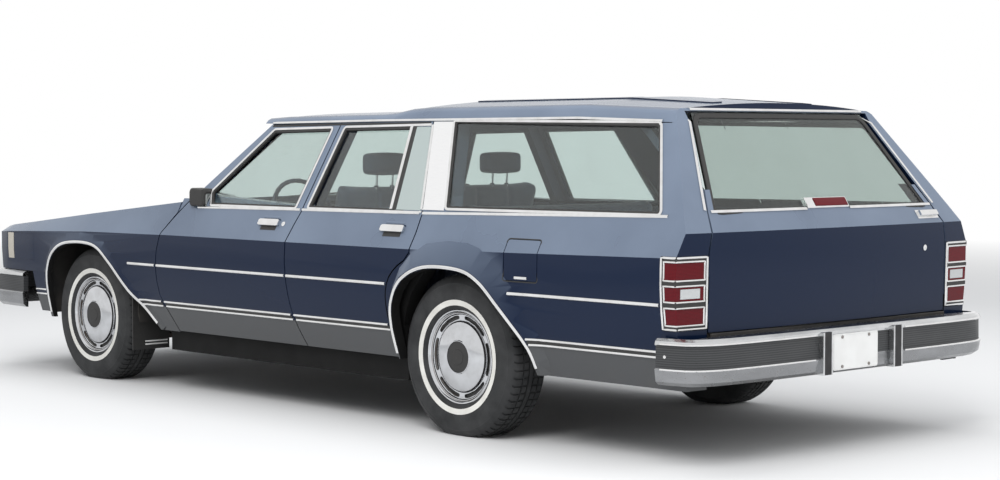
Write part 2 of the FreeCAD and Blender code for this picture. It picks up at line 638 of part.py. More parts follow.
corner_lamp = front_envelope(0.0).cut(front_envelope(CORNER_LAMP_DEPTH)).common(
    box(lamp_x_low + RUNNING_CLEARANCE, lamp_x_high - RUNNING_CLEARANCE, 850, 1300,
        lamp_z_low + RUNNING_CLEARANCE, lamp_z_high - RUNNING_CLEARANCE))

# Hood
hood = hood_skin.common(box(HOOD_REAR_X, HOOD_FRONT_X, 0, HOOD_HALF_WIDTH, 600, 1200))
parts["hood"] = fused([hood, mirrored(hood)])

# Header panel, grille and lamps at the nose
header = front_envelope(0.0).common(box(HOOD_FRONT_X + SEAM_GAP, HEADER_FRONT_X, 0, 1000, HEADER_BOTTOM_Z, 1200))
header = header.cut(box(2000, HEADER_FRONT_X - HEADER_DEPTH, 0, HOOD_HALF_WIDTH - 30, 0, GRILLE_TOP_Z + 20))
header = header.cut(front_skin.common(fender))
header = fused([header, mirrored(header)])
grille_room = box(2500, 2700, -GRILLE_HALF_WIDTH, GRILLE_HALF_WIDTH, GRILLE_BOTTOM_Z, GRILLE_TOP_Z)
lamp_hole = box(2500, 2700, HEADLAMP_INNER_Y, HEADLAMP_OUTER_Y, GRILLE_BOTTOM_Z, GRILLE_TOP_Z)
parts["header_panel"] = header.cut(Part.makeCompound([grille_room, lamp_hole, mirrored(lamp_hole)]))

grille_back_x = HEADER_FRONT_X - GRILLE_DEPTH
comb = [(grille_back_x, GRILLE_HALF_WIDTH), (grille_back_x, -GRILLE_HALF_WIDTH)]
spacing = (2 * GRILLE_HALF_WIDTH - GRILLE_BAR_WIDTH) / (GRILLE_BARS - 1)
for index in range(GRILLE_BARS):
    bar_y = -GRILLE_HALF_WIDTH + index * spacing
    comb += [(grille_back_x + GRILLE_BACK, bar_y), (HEADER_FRONT_X, bar_y), (HEADER_FRONT_X, bar_y + GRILLE_BAR_WIDTH),
             (grille_back_x + GRILLE_BACK, bar_y + GRILLE_BAR_WIDTH)]
edge_bars = [box(grille_back_x, HEADER_FRONT_X + 4, -GRILLE_HALF_WIDTH, GRILLE_HALF_WIDTH, low, low + GRILLE_EDGE)
             for low in (GRILLE_BOTTOM_Z, GRILLE_TOP_Z - GRILLE_EDGE)]
parts["grille"] = fused([prism_z(comb[:2] + comb[3:-1], GRILLE_BOTTOM_Z + GRILLE_EDGE, GRILLE_TOP_Z - GRILLE_EDGE)] + edge_bars)

middle_y = (HEADLAMP_INNER_Y + HEADLAMP_OUTER_Y) / 2
lamp_blocks = [box(HEADER_FRONT_X - 70, HEADER_FRONT_X - 4, low, high, GRILLE_BOTTOM_Z, GRILLE_TOP_Z)
               for low, high in ((HEADLAMP_INNER_Y, middle_y - HEADLAMP_GAP / 2),
                                 (middle_y + HEADLAMP_GAP / 2, HEADLAMP_OUTER_Y))]
parts["headlamps"] = both_sides(Part.makeCompound(lamp_blocks + corner_lamp.Solids))


# Bumpers
def bumper(face_x, plan, levels):
    """Return a bumper bar that wraps round the corners, its face stepped by its levels."""
    sign = math.copysign(1, face_x)
    line = smooth(plan, BUMPER_STEPS)
    walls = [BUMPER_WALL + (BUMPER_DEPTH - BUMPER_WALL) * max(0.0, 1 - back / 60) for back, _ in line]
    inner = moved_out(line, walls)
    sections = []
    for z, back in levels:
        outer = moved_out(line, [back] * len(line))
        left = [point(face_x - sign * x, y, z) for x, y in outer]
        left_inner = [point(face_x - sign * x, y, z) for x, y in inner]
        left[0].y = 0.0
        left_inner[0].y = 0.0
        right = [point(p.x, -p.y, p.z) for p in left[:0:-1]]
        right_inner = [point(p.x, -p.y, p.z) for p in left_inner[1:]]
        sections.append(right + left + left_inner[::-1] + right_inner)
    return skinned(sections)


rear_face_x = TAIL_X + GUARD_PROUD
rear_bumper = bumper(rear_face_x, REAR_BUMPER_PLAN, REAR_BUMPER_LEVELS)
plate_pocket = box(TAIL_X - 10, rear_face_x + PLATE_RECESS, -POCKET_HALF_WIDTH, POCKET_HALF_WIDTH,
                   PLATE_Z - PLATE_HALF_HEIGHT, PLATE_Z + PLATE_HALF_HEIGHT)
plate_holes = [Part.makeCylinder(PLATE_HOLE_RADIUS, 60, point(TAIL_X, PLATE_Y + side * PLATE_SPACING_Y / 2,
                                                              PLATE_Z + level * PLATE_SPACING_Z / 2), point(1, 0, 0))
               for side in (1, -1) for level in (1, -1)]
guard_low = REAR_BUMPER_LEVELS[0][0]
guard_high = REAR_BUMPER_LEVELS[-2][0]
guards = [box(TAIL_X, TAIL_X + 40, y - GUARD_WIDTH / 2, y + GUARD_WIDTH / 2, guard_low, guard_high) for y in GUARD_Y]
rear_bumper = rear_bumper.cut(Part.makeCompound([plate_pocket] + guards)).cut(Part.makeCompound(plate_holes))
parts["rear_bumper"] = rear_bumper
parts["bumper_guards"] = Part.makeCompound(guards)
parts["front_bumper"] = bumper(NOSE_X, FRONT_BUMPER_PLAN, FRONT_BUMPER_LEVELS)

# Side frames: pillars, rocker and jambs inside the doors
seam_step = -HALF_GAP - DOOR_STEP + SEAL_GAP
low_openings = Part.makeCompound([grown_prism(outline, seam_step) for outline in (front_door_outline, rear_door_outline)])
high_openings = [grown_prism(FRONT_SEAM[:2] + MIDDLE_SEAM[1::-1], -FRAME_LAP),
                 grown_prism(MIDDLE_SEAM[:2] + REAR_SEAM[1::-1], -FRAME_LAP), grown_prism(QUARTER_WINDOW, 12)]
side_outline = [(418.0, 1378.0), (820.0, 975.0), (860.0, 900.0), (988.0, 880.0), (988.0, 240.0), (-878.0, 240.0),
                (-878.0, 455.0), (-900.0, 500.0), (-960.0, 610.0), (-1050.0, 705.0), (-1150.0, 765.0),
                (-1150.0, 1000.0), (-965.0, 1378.0)]
side_space = prism_y(side_outline, 300, 1300)
split_z = DOOR_SPLIT_Z + SEAL_GAP + 1
low = jamb_skin.common(side_space).common(box(-FAR, 1000, 0, 1300, 200, split_z)).cut(low_openings)
high = pillar_skin.common(side_space).common(box(-FAR, 1000, 0, 1300, split_z, SIDE_TOP_Z)).cut(roof_outer)
high = high.cut(Part.makeCompound(high_openings[:1])).cut(high_openings[1]).cut(high_openings[2])
rocker = fused([box(-878, 988, 700, FLOOR_HALF_WIDTH, ROCKER_BOTTOM_Z, FLOOR_Z),
                box(-878, 988, 700, 862, ROCKER_BOTTOM_Z, SILL_Z - 4)])
seal_space = box(-FAR, 988, 0, 1300, SILL_Z + 20, DOOR_SPLIT_Z - 30)
seals = [seal_skin.common(seal_space).common(grown_prism(outline, -HALF_GAP - 10).cut(grown_prism(outline, seam_step)))
         for outline in (front_door_outline, rear_door_outline)]
parts["side_frame_left"] = fused([low, high, rocker] + seals)


# Fixed glass
def pane_outline(z, mid_x, end_x, end_y, thickness):
    """Return the closed outline of a curved pane at one height."""
    outer = arc_points(point(end_x, end_y, z), point(mid_x, 0, z), point(end_x, -end_y, z), CROWN_SEGMENTS)
    back = end_x - thickness
    inner = arc_points(point(back, -end_y, z), point(mid_x - thickness, 0, z), point(back, end_y, z), CROWN_SEGMENTS)
    return polygon(outer + inner)


windshield = loft([pane_outline(930.3, 925, 825, 795, 8), pane_outline(1368, 480, 410, 614, 8)])
windshield_space = loft([pane_outline(930, 926, 826, 797, 11), pane_outline(1369, 481, 411, 616, 11)])
for name in ("roof", "side_frame_left"):
    parts[name] = parts[name].cut(windshield_space)
quarter_glass = layer(cabin_envelope, 5.0, 5.0 + GLASS_THICKNESS).common(grown_prism(quarter_window, -0.5))
parts["fixed_glass"] = Part.makeCompound([windshield, quarter_glass, mirrored(quarter_glass)])


# Tailgate and its glass
def doubled(half):
    """Return a left half outline of (y, z) points with its mirror image."""
    return half + [(-y, z) for y, z in half[::-1]]


gate = tail_space.cut(tail_front(GATE_DEPTH)).common(prism_x(doubled(GATE_OUTLINE), -2700, -2200))
pane = tail_front(8.0).cut(tail_front(16.0))
pane = pane.common(prism_x(doubled([(GATE_GLASS_LOW_Y, GATE_GLASS_LOW_Z), (GATE_GLASS_TOP_Y, GATE_GLASS_TOP_Z)]), -2700, -2200))
parts["tailgate_glass"] = pane
parts["tailgate"] = gate.cut(pane)

# Floor pan with tunnel, firewall with cowl, load floor with wheelhouses, and front liners
tunnel_outer = fused([box(-840, 560, -112, 112, FLOOR_Z, 455), box(540, 988, -165, 165, FLOOR_Z, 565)])
tunnel_inner = fused([box(-900, 560, -100, 100, 0, 443), box(552, 1001, -153, 153, 0, 553)])
pan = box(-848, 988, -FLOOR_HALF_WIDTH, FLOOR_HALF_WIDTH, FLOOR_Z, FLOOR_Z + FLOOR_THICKNESS)
parts["floor_pan"] = fused([pan, tunnel_outer]).cut(tunnel_inner)
firewall = box(988, 1000, -FLOOR_HALF_WIDTH, FLOOR_HALF_WIDTH, FLOOR_Z, 900)
cowl = fused([box(820, 943, -770, 770, 918, 930), box(931, 1000, -795, 795, 888, 900), box(931, 943, -795, 795, 888, 930)])
posts = box(950, 985, 560, 620, 895, 1000).common(front_envelope(HOOD_THICKNESS + RUNNING_CLEARANCE))
parts["firewall"] = fused([firewall, cowl, posts, mirrored(posts)]).cut(tunnel_inner)
heel = prism_y([(-848, 320), (-838, 332), (-1010, 602), (-1030, 602), (-1030, 590), (-1018, 590)], -640, 640)
heel = heel.cut(box(-1100, -800, -112, 112, 0, 455)).cut(pan)
load_half = cabin_envelope(SKIN + RUNNING_CLEARANCE).common(
    box(-2495, -1016, 0, 1000, LOAD_FLOOR_Z, LOAD_FLOOR_Z + FLOOR_THICKNESS))
house = box(-1700, -880, 640, 818, 420, 770)
hollow = fused([box(-1688, -892, 652, 1000, 0, 758), box(REAR_AXLE_X - 70, REAR_AXLE_X + 70, 600, 700, 0, 480),
                box(-2600, LAMP_FRONT_X + 6, LAMP_INNER_Y - 10, 1000, 500, 900)])
load_floor = fused([load_half, mirrored(load_half), heel, house, mirrored(house)])
parts["load_floor"] = load_floor.cut(hollow).cut(mirrored(hollow))
liner = box(1240, 2110, 455, 895, 330, 770).cut(box(1252, 2098, 467, 900, 0, 758))
liner = liner.common(front_envelope(SKIN + RUNNING_CLEARANCE))
liner = liner.cut(box(FRONT_AXLE_X - 75, FRONT_AXLE_X + 75, 440, 470, 300, 355))
liner = fused([liner, box(1000, 1252, 443, 467, 400, 700)])
parts["front_liners"] = both_sides(liner)

# Frame rails, and the members between and on them
rail_sections = []
for x, y, z in RAIL_PATH:
    rail_sections.append([point(x, y + side * RAIL_HALF_WIDTH, z + level * RAIL_HALF_HEIGHT)
                          for side, level in ((-1, -1), (1, -1), (1, 1), (-1, 1))])
rail = skinned(rail_sections)
pipe_notch = box(-900, 400, -368, -292, 246, 320)
parts["frame_rails"] = both_sides(rail)
members = []
for x, y, z, width in CROSS_MEMBERS:
    reach = y - RAIL_HALF_WIDTH
    members.append(box(x - width / 2, x + width / 2, -reach, reach, z - CROSS_HALF_HEIGHT, z + CROSS_HALF_HEIGHT))
for side in (1, -1):
    tower = box(FRONT_AXLE_X - 70, FRONT_AXLE_X + 70, 435, 565, 330, 350)
    bracket = box(TAIL_X + GUARD_PROUD + BUMPER_DEPTH, -2500, 460, 530, 440, 500)
    members += [tower, bracket] if side > 0 else [mirrored(tower), mirrored(bracket)]
parts["frame_members"] = Part.makeCompound(members)

# Powertrain, rear axle, suspension, exhaust and tank
cross_x, _, cross_z, cross_width = CROSS_MEMBERS[1]
cross_room = box(cross_x - cross_width / 2 - 10, cross_x + cross_width / 2 + 10, -300, 300, 200,
                 cross_z + CROSS_HALF_HEIGHT + 10)
engine = box(1180, 1860, -270, 270, 300, 800).cut(cross_room)
gearbox = bar(point(1180, 0, 395), point(565, 0, 395), 150, 85, 16)
shaft = bar(point(566, 0, 385), point(REAR_AXLE_X + 130 + RUNNING_CLEARANCE, 0, 345), 38)
parts["powertrain"] = fused([engine, gearbox, shaft])
axle_tube = bar(point(REAR_AXLE_X, -632, AXLE_Z), point(REAR_AXLE_X, 632, AXLE_Z), 40)
diff_profile = [(40, -90), (110, -60), (130, -20), (130, 20), (110, 60), (40, 90), (10, 90), (10, -90)]
diff = turned(diff_profile, point(REAR_AXLE_X, 0, AXLE_Z), 24)
stub_reach = REAR_TRACK / 2 + 45
stubs = [tube_y(REAR_AXLE_X, AXLE_Z, SPINDLE_RADIUS, low, low + stub_reach - 632) for low in (-stub_reach, 632)]
parts["rear_axle"] = fused([axle_tube, diff] + stubs)
arm_outline = [(60, 405), (60, 440), (30, KINGPIN_Y + 30), (-30, KINGPIN_Y + 30), (-200, 440), (-200, 405)]
lower_arm = prism_z([(FRONT_AXLE_X + x, y) for x, y in arm_outline], 205, 230)
spring = bar(point(FRONT_AXLE_X, 500, 230), point(FRONT_AXLE_X, 500, 330), 60)
trailing = box(REAR_AXLE_X - 5, -840, 440, 480, 270, 302.7)
coil = bar(point(REAR_AXLE_X, 495, 383), point(REAR_AXLE_X, 495, 500), 60)
arms = [fused([lower_arm, spring]), trailing, coil]
parts["suspension"] = Part.makeCompound(arms + [mirrored(arm) for arm in arms])
pipe = bar(point(1150, -330, 282), point(-880, -330, 282), 28)
muffler = box(-600, -100, -420, -240, 215, 300)
hangers = [box(x, x + 20, -345, -315, 290, FLOOR_Z) for x in (-520, -200, 600)]
parts["exhaust"] = fused([pipe, muffler] + hangers)
parts["frame_members"] = parts["frame_members"].cut(pipe_notch)
parts["fuel_tank"] = box(-2440, -1800, 535, 850, 330, LOAD_FLOOR_Z)
parts["mud_flaps"] = both_sides(box(FRONT_AXLE_X - 430, FRONT_AXLE_X - 423, 700, 925, 185, 470))

# Seats, dashboard and steering wheel
bench_back = prism_y([(-40, 560), (60, 560), (-90, 1100), (-200, 1100), (-200, 1060)], -680, 680)
head_rest = box(-190, -110, 250, 520, 1100, 1220)
rear_seat = prism_y([(-420, 332.3), (-410, 590), (-790, 570), (-900, 1010), (-985, 1010), (-1002, 606), (-832, 332.3)], -625, 625)
seats = fused([box(-40, 480, -680, 680, 332.3, 620), bench_back, head_rest, mirrored(head_rest), rear_seat])
parts["seats"] = seats.cut(box(-900, 520, -114, 114, 0, 457))
dash = prism_y([(988, 575), (988, 887), (930, 887), (930, 917), (820, 917), (680, 905), (640, 780), (700, 640), (800, 575)], -760, 760)
column_end = point(520, STEERING_Y, 885)
parts["dashboard"] = fused([dash, bar(point(720, STEERING_Y, 800), column_end, 32)])
wheel_axis = point(-200, 0, 85)
wheel_axis.normalize()
wheel_centre = column_end + wheel_axis * (20 + RUNNING_CLEARANCE)
ring_profile = [(STEERING_WHEEL_RADIUS + 13 * math.cos(2 * math.pi * k / RING_SIDES), 13 * math.sin(2 * math.pi * k / RING_SIDES))
                for k in range(RING_SIDES)]
ring = turned(ring_profile, point(0, 0, 0), RING_FACETS)
ring.Placement = FreeCAD.Placement(wheel_centre + wheel_axis * 20, FreeCAD.Rotation(point(0, 1, 0), wheel_axis))
hub = turned([(0.5, -20), (50, -20), (58, 14), (0.5, 14)], point(0, 0, 0), 16)
hub.Placement = FreeCAD.Placement(wheel_centre, FreeCAD.Rotation(point(0, 1, 0), wheel_axis))
spokes = []
for side in (1, -1):
    spoke = box(-9, 9, 10, STEERING_WHEEL_RADIUS - 4, -2, 10)
    spoke.Placement = FreeCAD.Placement(wheel_centre + wheel_axis * 8, FreeCAD.Rotation(point(0, 0, 1), wheel_axis))
    spokes.append(spoke if side > 0 else mirrored(spoke).translated(point(0, 2 * STEERING_Y, 0)))
parts["steering_wheel"] = fused([ring, hub] + spokes)

# Mirrors on the front doors
mirror_rows = [(640, 812, 898, 962, 1022), (652, 802, 908, 950, 1036), (744, 800, 912, 948, 1040), (760, 808, 906, 954, 1032)]
mirror_sections = []
for x, y_low, y_high, z_low, z_high in mirror_rows:
    corners = rounded([(y_low, z_low), (y_high, z_low), (y_high, z_high), (y_low, z_high)], 14, 2)
    mirror_sections.append([point(x, y, z) for y, z in corners])
mirror = fused([skinned(mirror_sections), box(650, 700, 770, 830, 962, 1000)])
parts["mirror_left"] = mirror.cut(cabin_envelope(-RUNNING_CLEARANCE))


# Wheels
def wheel(axle_x, centre_y):
    """Return tyre and rim of a left wheel around its axle."""
    centre = point(axle_x, centre_y, AXLE_Z)
    half = TYRE_WIDTH / 2
    shoulder = [(RIM_RADIUS, half - 20), (RIM_RADIUS + 38, half - 4), (RIM_RADIUS + 75, half), (TYRE_RADIUS - 40, half - 5),
                (TYRE_RADIUS - 9, half - 22), (TYRE_RADIUS, half - 44)]
    tyre = turned([(r, -y) for r, y in shoulder] + shoulder[::-1], centre, WHEEL_FACETS)
    bore = (SPINDLE_RADIUS + RUNNING_CLEARANCE) / math.cos(math.pi / RIM_FACETS)
    rim_profile = [(bore, 0), (bore, 58), (24, 94), (66, 92), (68, 80), (110, 84), (146, 70), (150, 62), (176, 70), (RIM_RADIUS, 88),
                   (RIM_RADIUS, -86), (RIM_RADIUS - 12, -86), (RIM_RADIUS - 14, 36), (60, 20)]
    rim = turned(rim_profile, centre, RIM_FACETS)
    slots = []
    for index in range(WHEEL_SLOTS):
        slot = box(-9, 9, 30, 120, 152, 174)
        slot.rotate(point(0, 0, 0), point(0, 1, 0), 360 * (index + 0.5) / WHEEL_SLOTS)
        slot.translate(centre)
        slots.append(slot)
    ground = box(axle_x - 200, axle_x + 200, centre_y - 200, centre_y + 200, -100, 0)
    return tyre.cut(ground), rim.cut(Part.makeCompound(slots))


for place, axle_x, track in (("front", FRONT_AXLE_X, FRONT_TRACK), ("rear", REAR_AXLE_X, REAR_TRACK)):
    parts["tyre_%s_left" % place], parts["rim_%s_left" % place] = wheel(axle_x, track / 2)
upright = box(FRONT_AXLE_X - 35, FRONT_AXLE_X + 35, KINGPIN_Y - 30, KINGPIN_Y + 30, 230.3, 470)
parts["knuckle_left"] = fused([upright, tube_y(FRONT_AXLE_X, AXLE_Z, SPINDLE_RADIUS, KINGPIN_Y, FRONT_TRACK / 2 + 35)])

# Right side, and what only the left quarter panel has: the fuel door and the tailgate's hinges
for name in [name for name in parts if name.endswith("_left")]:
    parts[name.replace("_left", "_right")] = mirrored(parts[name])
x_low, x_high, z_low, z_high = FUEL_DOOR
door_edge = rounded([(x_low, z_low), (x_high, z_low), (x_high, z_high), (x_low, z_high)], 16)
groove = grown_prism(door_edge, 0).cut(grown_prism(door_edge, -FUEL_DOOR_GROOVE))
groove = groove.common(layer(cabin_envelope, -1.0, FUEL_DOOR_GROOVE))
gate_hinges = [box(-2583, -2546, GATE_OUTLINE[0][0] + RUNNING_CLEARANCE, 795, z, z + 70) for z in GATE_HINGE_HEIGHTS]
parts["quarter_panel_left"] = fused([parts["quarter_panel_left"].cut(groove)] + gate_hinges)

os.makedirs("parts", exist_ok=True)
for name, shape in sorted(parts.items()):
    bounds = shape.BoundBox
    print("%-24s valid %s solids %d volume %.4f x %.0f %.0f y %.0f %.0f z %.0f %.0f" % (
        name, shape.isValid(), len(shape.Solids), shape.Volume / 1e9, bounds.XMin, bounds.XMax,
        bounds.YMin, bounds.YMax, bounds.ZMin, bounds.ZMax))
    shape.exportStep("parts/%s.step" % name)
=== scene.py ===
"""Finish of a full-size station wagon of the 1980s: paint, bright trim, lamps, glass, wheels and cabin.

The pieces sit on the frame that is loaded at the top and ride on its bodies.
"""
import json
import math

import bmesh
import bpy
import numpy as np
from bpy.props import FloatProperty, FloatVectorProperty, PointerProperty
from mathutils import Matrix, Vector
from mathutils.bvhtree import BVHTree


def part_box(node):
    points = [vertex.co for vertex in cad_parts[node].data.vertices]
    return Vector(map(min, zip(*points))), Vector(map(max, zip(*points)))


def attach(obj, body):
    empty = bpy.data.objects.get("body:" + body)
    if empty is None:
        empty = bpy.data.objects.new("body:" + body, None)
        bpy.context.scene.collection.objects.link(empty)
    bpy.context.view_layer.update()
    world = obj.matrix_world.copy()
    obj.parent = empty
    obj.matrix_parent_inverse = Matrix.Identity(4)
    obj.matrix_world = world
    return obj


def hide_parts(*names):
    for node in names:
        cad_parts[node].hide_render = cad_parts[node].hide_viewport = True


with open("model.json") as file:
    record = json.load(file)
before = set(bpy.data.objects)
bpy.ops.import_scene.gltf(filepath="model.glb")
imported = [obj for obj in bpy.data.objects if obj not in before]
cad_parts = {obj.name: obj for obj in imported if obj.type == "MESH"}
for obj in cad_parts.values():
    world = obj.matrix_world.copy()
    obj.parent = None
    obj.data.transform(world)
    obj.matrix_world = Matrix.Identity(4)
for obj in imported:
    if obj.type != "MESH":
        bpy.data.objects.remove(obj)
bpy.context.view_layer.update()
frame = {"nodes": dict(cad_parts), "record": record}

bl_info = {
    "name": "Station wagon finish",
    "version": (1, 0, 0),
    "blender": (4, 5, 0),
    "location": "3D View > Sidebar > Wagon",
    "description": "Paint, trim, lamps, wheels and cabin of a full-size station wagon",
    "category": "Add Mesh",
}

NODES = frame["nodes"]
SIDES = (("left", 1), ("right", -1))
FINE = 0.0002  # radius that stands for none where a turned form meets its axis
FRONT_AXLE_X = 1.682
REAR_AXLE_X = -1.264
AXLE_Z = 0.343


# Settings

class PaintSettings(bpy.types.PropertyGroup):
    """Colours of the body."""
    blue: FloatVectorProperty(name="Body blue", description="Dark metallic blue of the body", subtype="COLOR",
                              size=3, min=0, max=1, default=(0.005, 0.013, 0.038))
    # The faded blue stands partly for sun fading and partly for painted sky reflection on surfaces that face up.
    sun_fade_and_sky_sheen: FloatVectorProperty(name="Faded blue", description="Blue of the sides and tops that face the sky",
                               subtype="COLOR", size=3, min=0, max=1, default=(0.190, 0.235, 0.310))
    silver: FloatVectorProperty(name="Lower silver", description="Silver of the panels below the wide moulding",
                                subtype="COLOR", size=3, min=0, max=1, default=(0.080, 0.083, 0.087))
    dust: FloatVectorProperty(name="Road dust", description="Dust on the lower body and tyres", subtype="COLOR",
                              size=3, min=0, max=1, default=(0.10, 0.095, 0.085))
    silver_height: FloatProperty(name="Silver height", description="Upper edge of the silver panels", unit="LENGTH",
                                 default=0.432)


class StageSettings(bpy.types.PropertyGroup):
    """Camera and floor."""
    camera_place: FloatVectorProperty(name="Camera place", description="Where the camera stands", size=3,
                                      subtype="TRANSLATION", unit="LENGTH", default=(-7.8516, 6.8505, 1.2848))
    camera_yaw: FloatProperty(name="Camera heading", description="Direction of the view from above",
                              subtype="ANGLE", default=-0.754)
    camera_pitch: FloatProperty(name="Camera pitch", description="Tilt of the view", subtype="ANGLE",
                                default=-0.049)
    focal_length: FloatProperty(name="Focal length", description="Lens for a 36 mm wide frame, in millimetres",
                                default=74.1)
    floor_tone: FloatProperty(name="Floor tone", description="Grey of the floor", subtype="FACTOR", min=0, max=1,
                              default=0.68)


# Shader maths

class Flow:
    """A shader socket whose arithmetic adds Math nodes."""

    def __init__(self, shader, socket):
        self.shader = shader
        self.socket = socket

    def math(self, operation, *values):
        """Return the result of one Math node on these values."""
        return self.shader.node("ShaderNodeMath", {"operation": operation}, dict(enumerate(values)))

    def __add__(self, other):
        return self.math("ADD", self, other)

    def __radd__(self, other):
        return self.math("ADD", other, self)

    def __sub__(self, other):
        return self.math("SUBTRACT", self, other)

    def __rsub__(self, other):
        return self.math("SUBTRACT", other, self)

    def __mul__(self, other):
        return self.math("MULTIPLY", self, other)

    def __rmul__(self, other):
        return self.math("MULTIPLY", other, self)

    def __truediv__(self, other):
        return self.math("DIVIDE", self, other)

    def size(self):
        """Return the value without its sign."""
        return self.math("ABSOLUTE", self)

    def above(self, other):
        """Return 1 where this is greater than the other value."""
        return self.math("GREATER_THAN", self, other)

    def below(self, other):
        """Return 1 where this is less than the other value."""
        return self.math("LESS_THAN", self, other)

    def ramp(self, low, high):
        """Return 0 at low, 1 at high and a straight line between."""
        return self.shader.node("ShaderNodeMapRange", {"clamp": True}, {0: self, 1: low, 2: high, 3: 0.0, 4: 1.0})


class Shader:
    """A node material around one Principled BSDF."""

    def __init__(self, name, **values):
        self.material = bpy.data.materials.new(name)
        self.material.use_nodes = True
        self.tree = self.material.node_tree
        self.surface = self.tree.nodes["Principled BSDF"]
        self.output = self.tree.nodes["Material Output"]
        self.place = None
        for socket, value in values.items():
            self.surface.inputs[socket.replace("_", " ")].default_value = value

    def node(self, kind, settings=None, inputs=None, output=0):
        """Add a node, set its settings, fill its sockets and return one of its outputs."""
        made = self.tree.nodes.new(kind)
        for name, value in (settings or {}).items():
            setattr(made, name, value)
        for key, value in (inputs or {}).items():
            self.fill(made.inputs[key], value)
        return Flow(self, made.outputs[output])

    def fill(self, socket, value):
        """Link a flow to a socket, or set its value."""
        if isinstance(value, Flow):
            self.tree.links.new(value.socket, socket)
        elif socket.type == "RGBA" and len(value) == 3:
            socket.default_value = (*value, 1.0)
        else:
            socket.default_value = value

    def position(self):
        """Return the place on the object, in metres."""
        if self.place is None:
            self.place = self.node("ShaderNodeTexCoord", output=3)
        return self.place

    def axis(self, index):
        """Return one coordinate of the place."""
        return self.node("ShaderNodeSeparateXYZ", {}, {0: self.position()}, index)

    def facing(self, index):
        """Return one coordinate of the surface's normal."""
        normal = self.node("ShaderNodeTexCoord", output=1)
        return self.node("ShaderNodeSeparateXYZ", {}, {0: normal}, index)

    def from_axle(self):
        """Return how far the place lies outside the nearer axle, along the car."""
        middle = (FRONT_AXLE_X + REAR_AXLE_X) / 2
        return (self.axis(0) - middle).size() - (FRONT_AXLE_X - middle)

    def noise(self, scale, detail=3.0, stretch=None):
        """Return a noise value of about 0 to 1, finer with scale."""
        where = self.position()
        if stretch:
            where = self.node("ShaderNodeVectorMath", {"operation": "MULTIPLY"}, {0: where, 1: stretch})
        return self.node("ShaderNodeTexNoise", {}, {"Vector": where, "Scale": scale, "Detail": detail})

    def ribs(self, direction, scale):
        """Return a wave of about 0 to 1 in one direction."""
        return self.node("ShaderNodeTexWave", {"bands_direction": direction},
                         {"Vector": self.position(), "Scale": scale}, 1)

    def cells(self, scale):
        """Return the distance to the middle of a cell, as a weave or grain."""
        return self.node("ShaderNodeTexVoronoi", {}, {"Vector": self.position(), "Scale": scale})

    def mix(self, share, first, second):
        """Return a mix of two colours."""
        return self.node("ShaderNodeMix", {"data_type": "RGBA"}, {0: share, 6: first, 7: second}, 2)

    def bump(self, height, strength=0.2, distance=0.001):
        """Raise the surface by a height value."""
        made = self.node("ShaderNodeBump", {}, {"Strength": strength, "Distance": distance, "Height": height})
        self.fill(self.surface.inputs["Normal"], made)

    def feed(self, **flows):
        """Link flows to sockets of the Principled BSDF."""
        for name, flow in flows.items():
            self.fill(self.surface.inputs[name.replace("_", " ")], flow)
        return self


MATERIALS = {}


def finish_named(name):
    """Return a material, made once from its row of a table."""
    if name not in MATERIALS:
        if name in TWO_TONES:
            MATERIALS[name] = two_tone(name, **TWO_TONES[name])
        else:
            make, *values = FINISHES[name]
            MATERIALS[name] = make(name, *values)
    return MATERIALS[name]


def grey(value):
    """Return a colour without hue."""
    return (value, value, value)


def two_tone(name, tones, rough, noise=None, ribs=None, ramp=None, share=1.0, metal=None, raised=None, grain=None,
             cells=None, **values):
    """Return a material that mixes two tones by a noise or by ribs."""
    shader = Shader(name, **values)
    tone = shader.noise(*noise) if noise else shader.ribs(*ribs)
    if ramp:
        tone = tone.ramp(*ramp)
    shader.feed(Base_Color=shader.mix(tone * share, *tones), Roughness=tone * rough[0] + rough[1])
    if metal:
        shader.feed(Metallic=tone * metal[0] + metal[1])
    if raised:
        height = shader.noise(*grain) if grain else shader.cells(cells) if cells else tone
        shader.bump(height, *raised)
    return shader.material


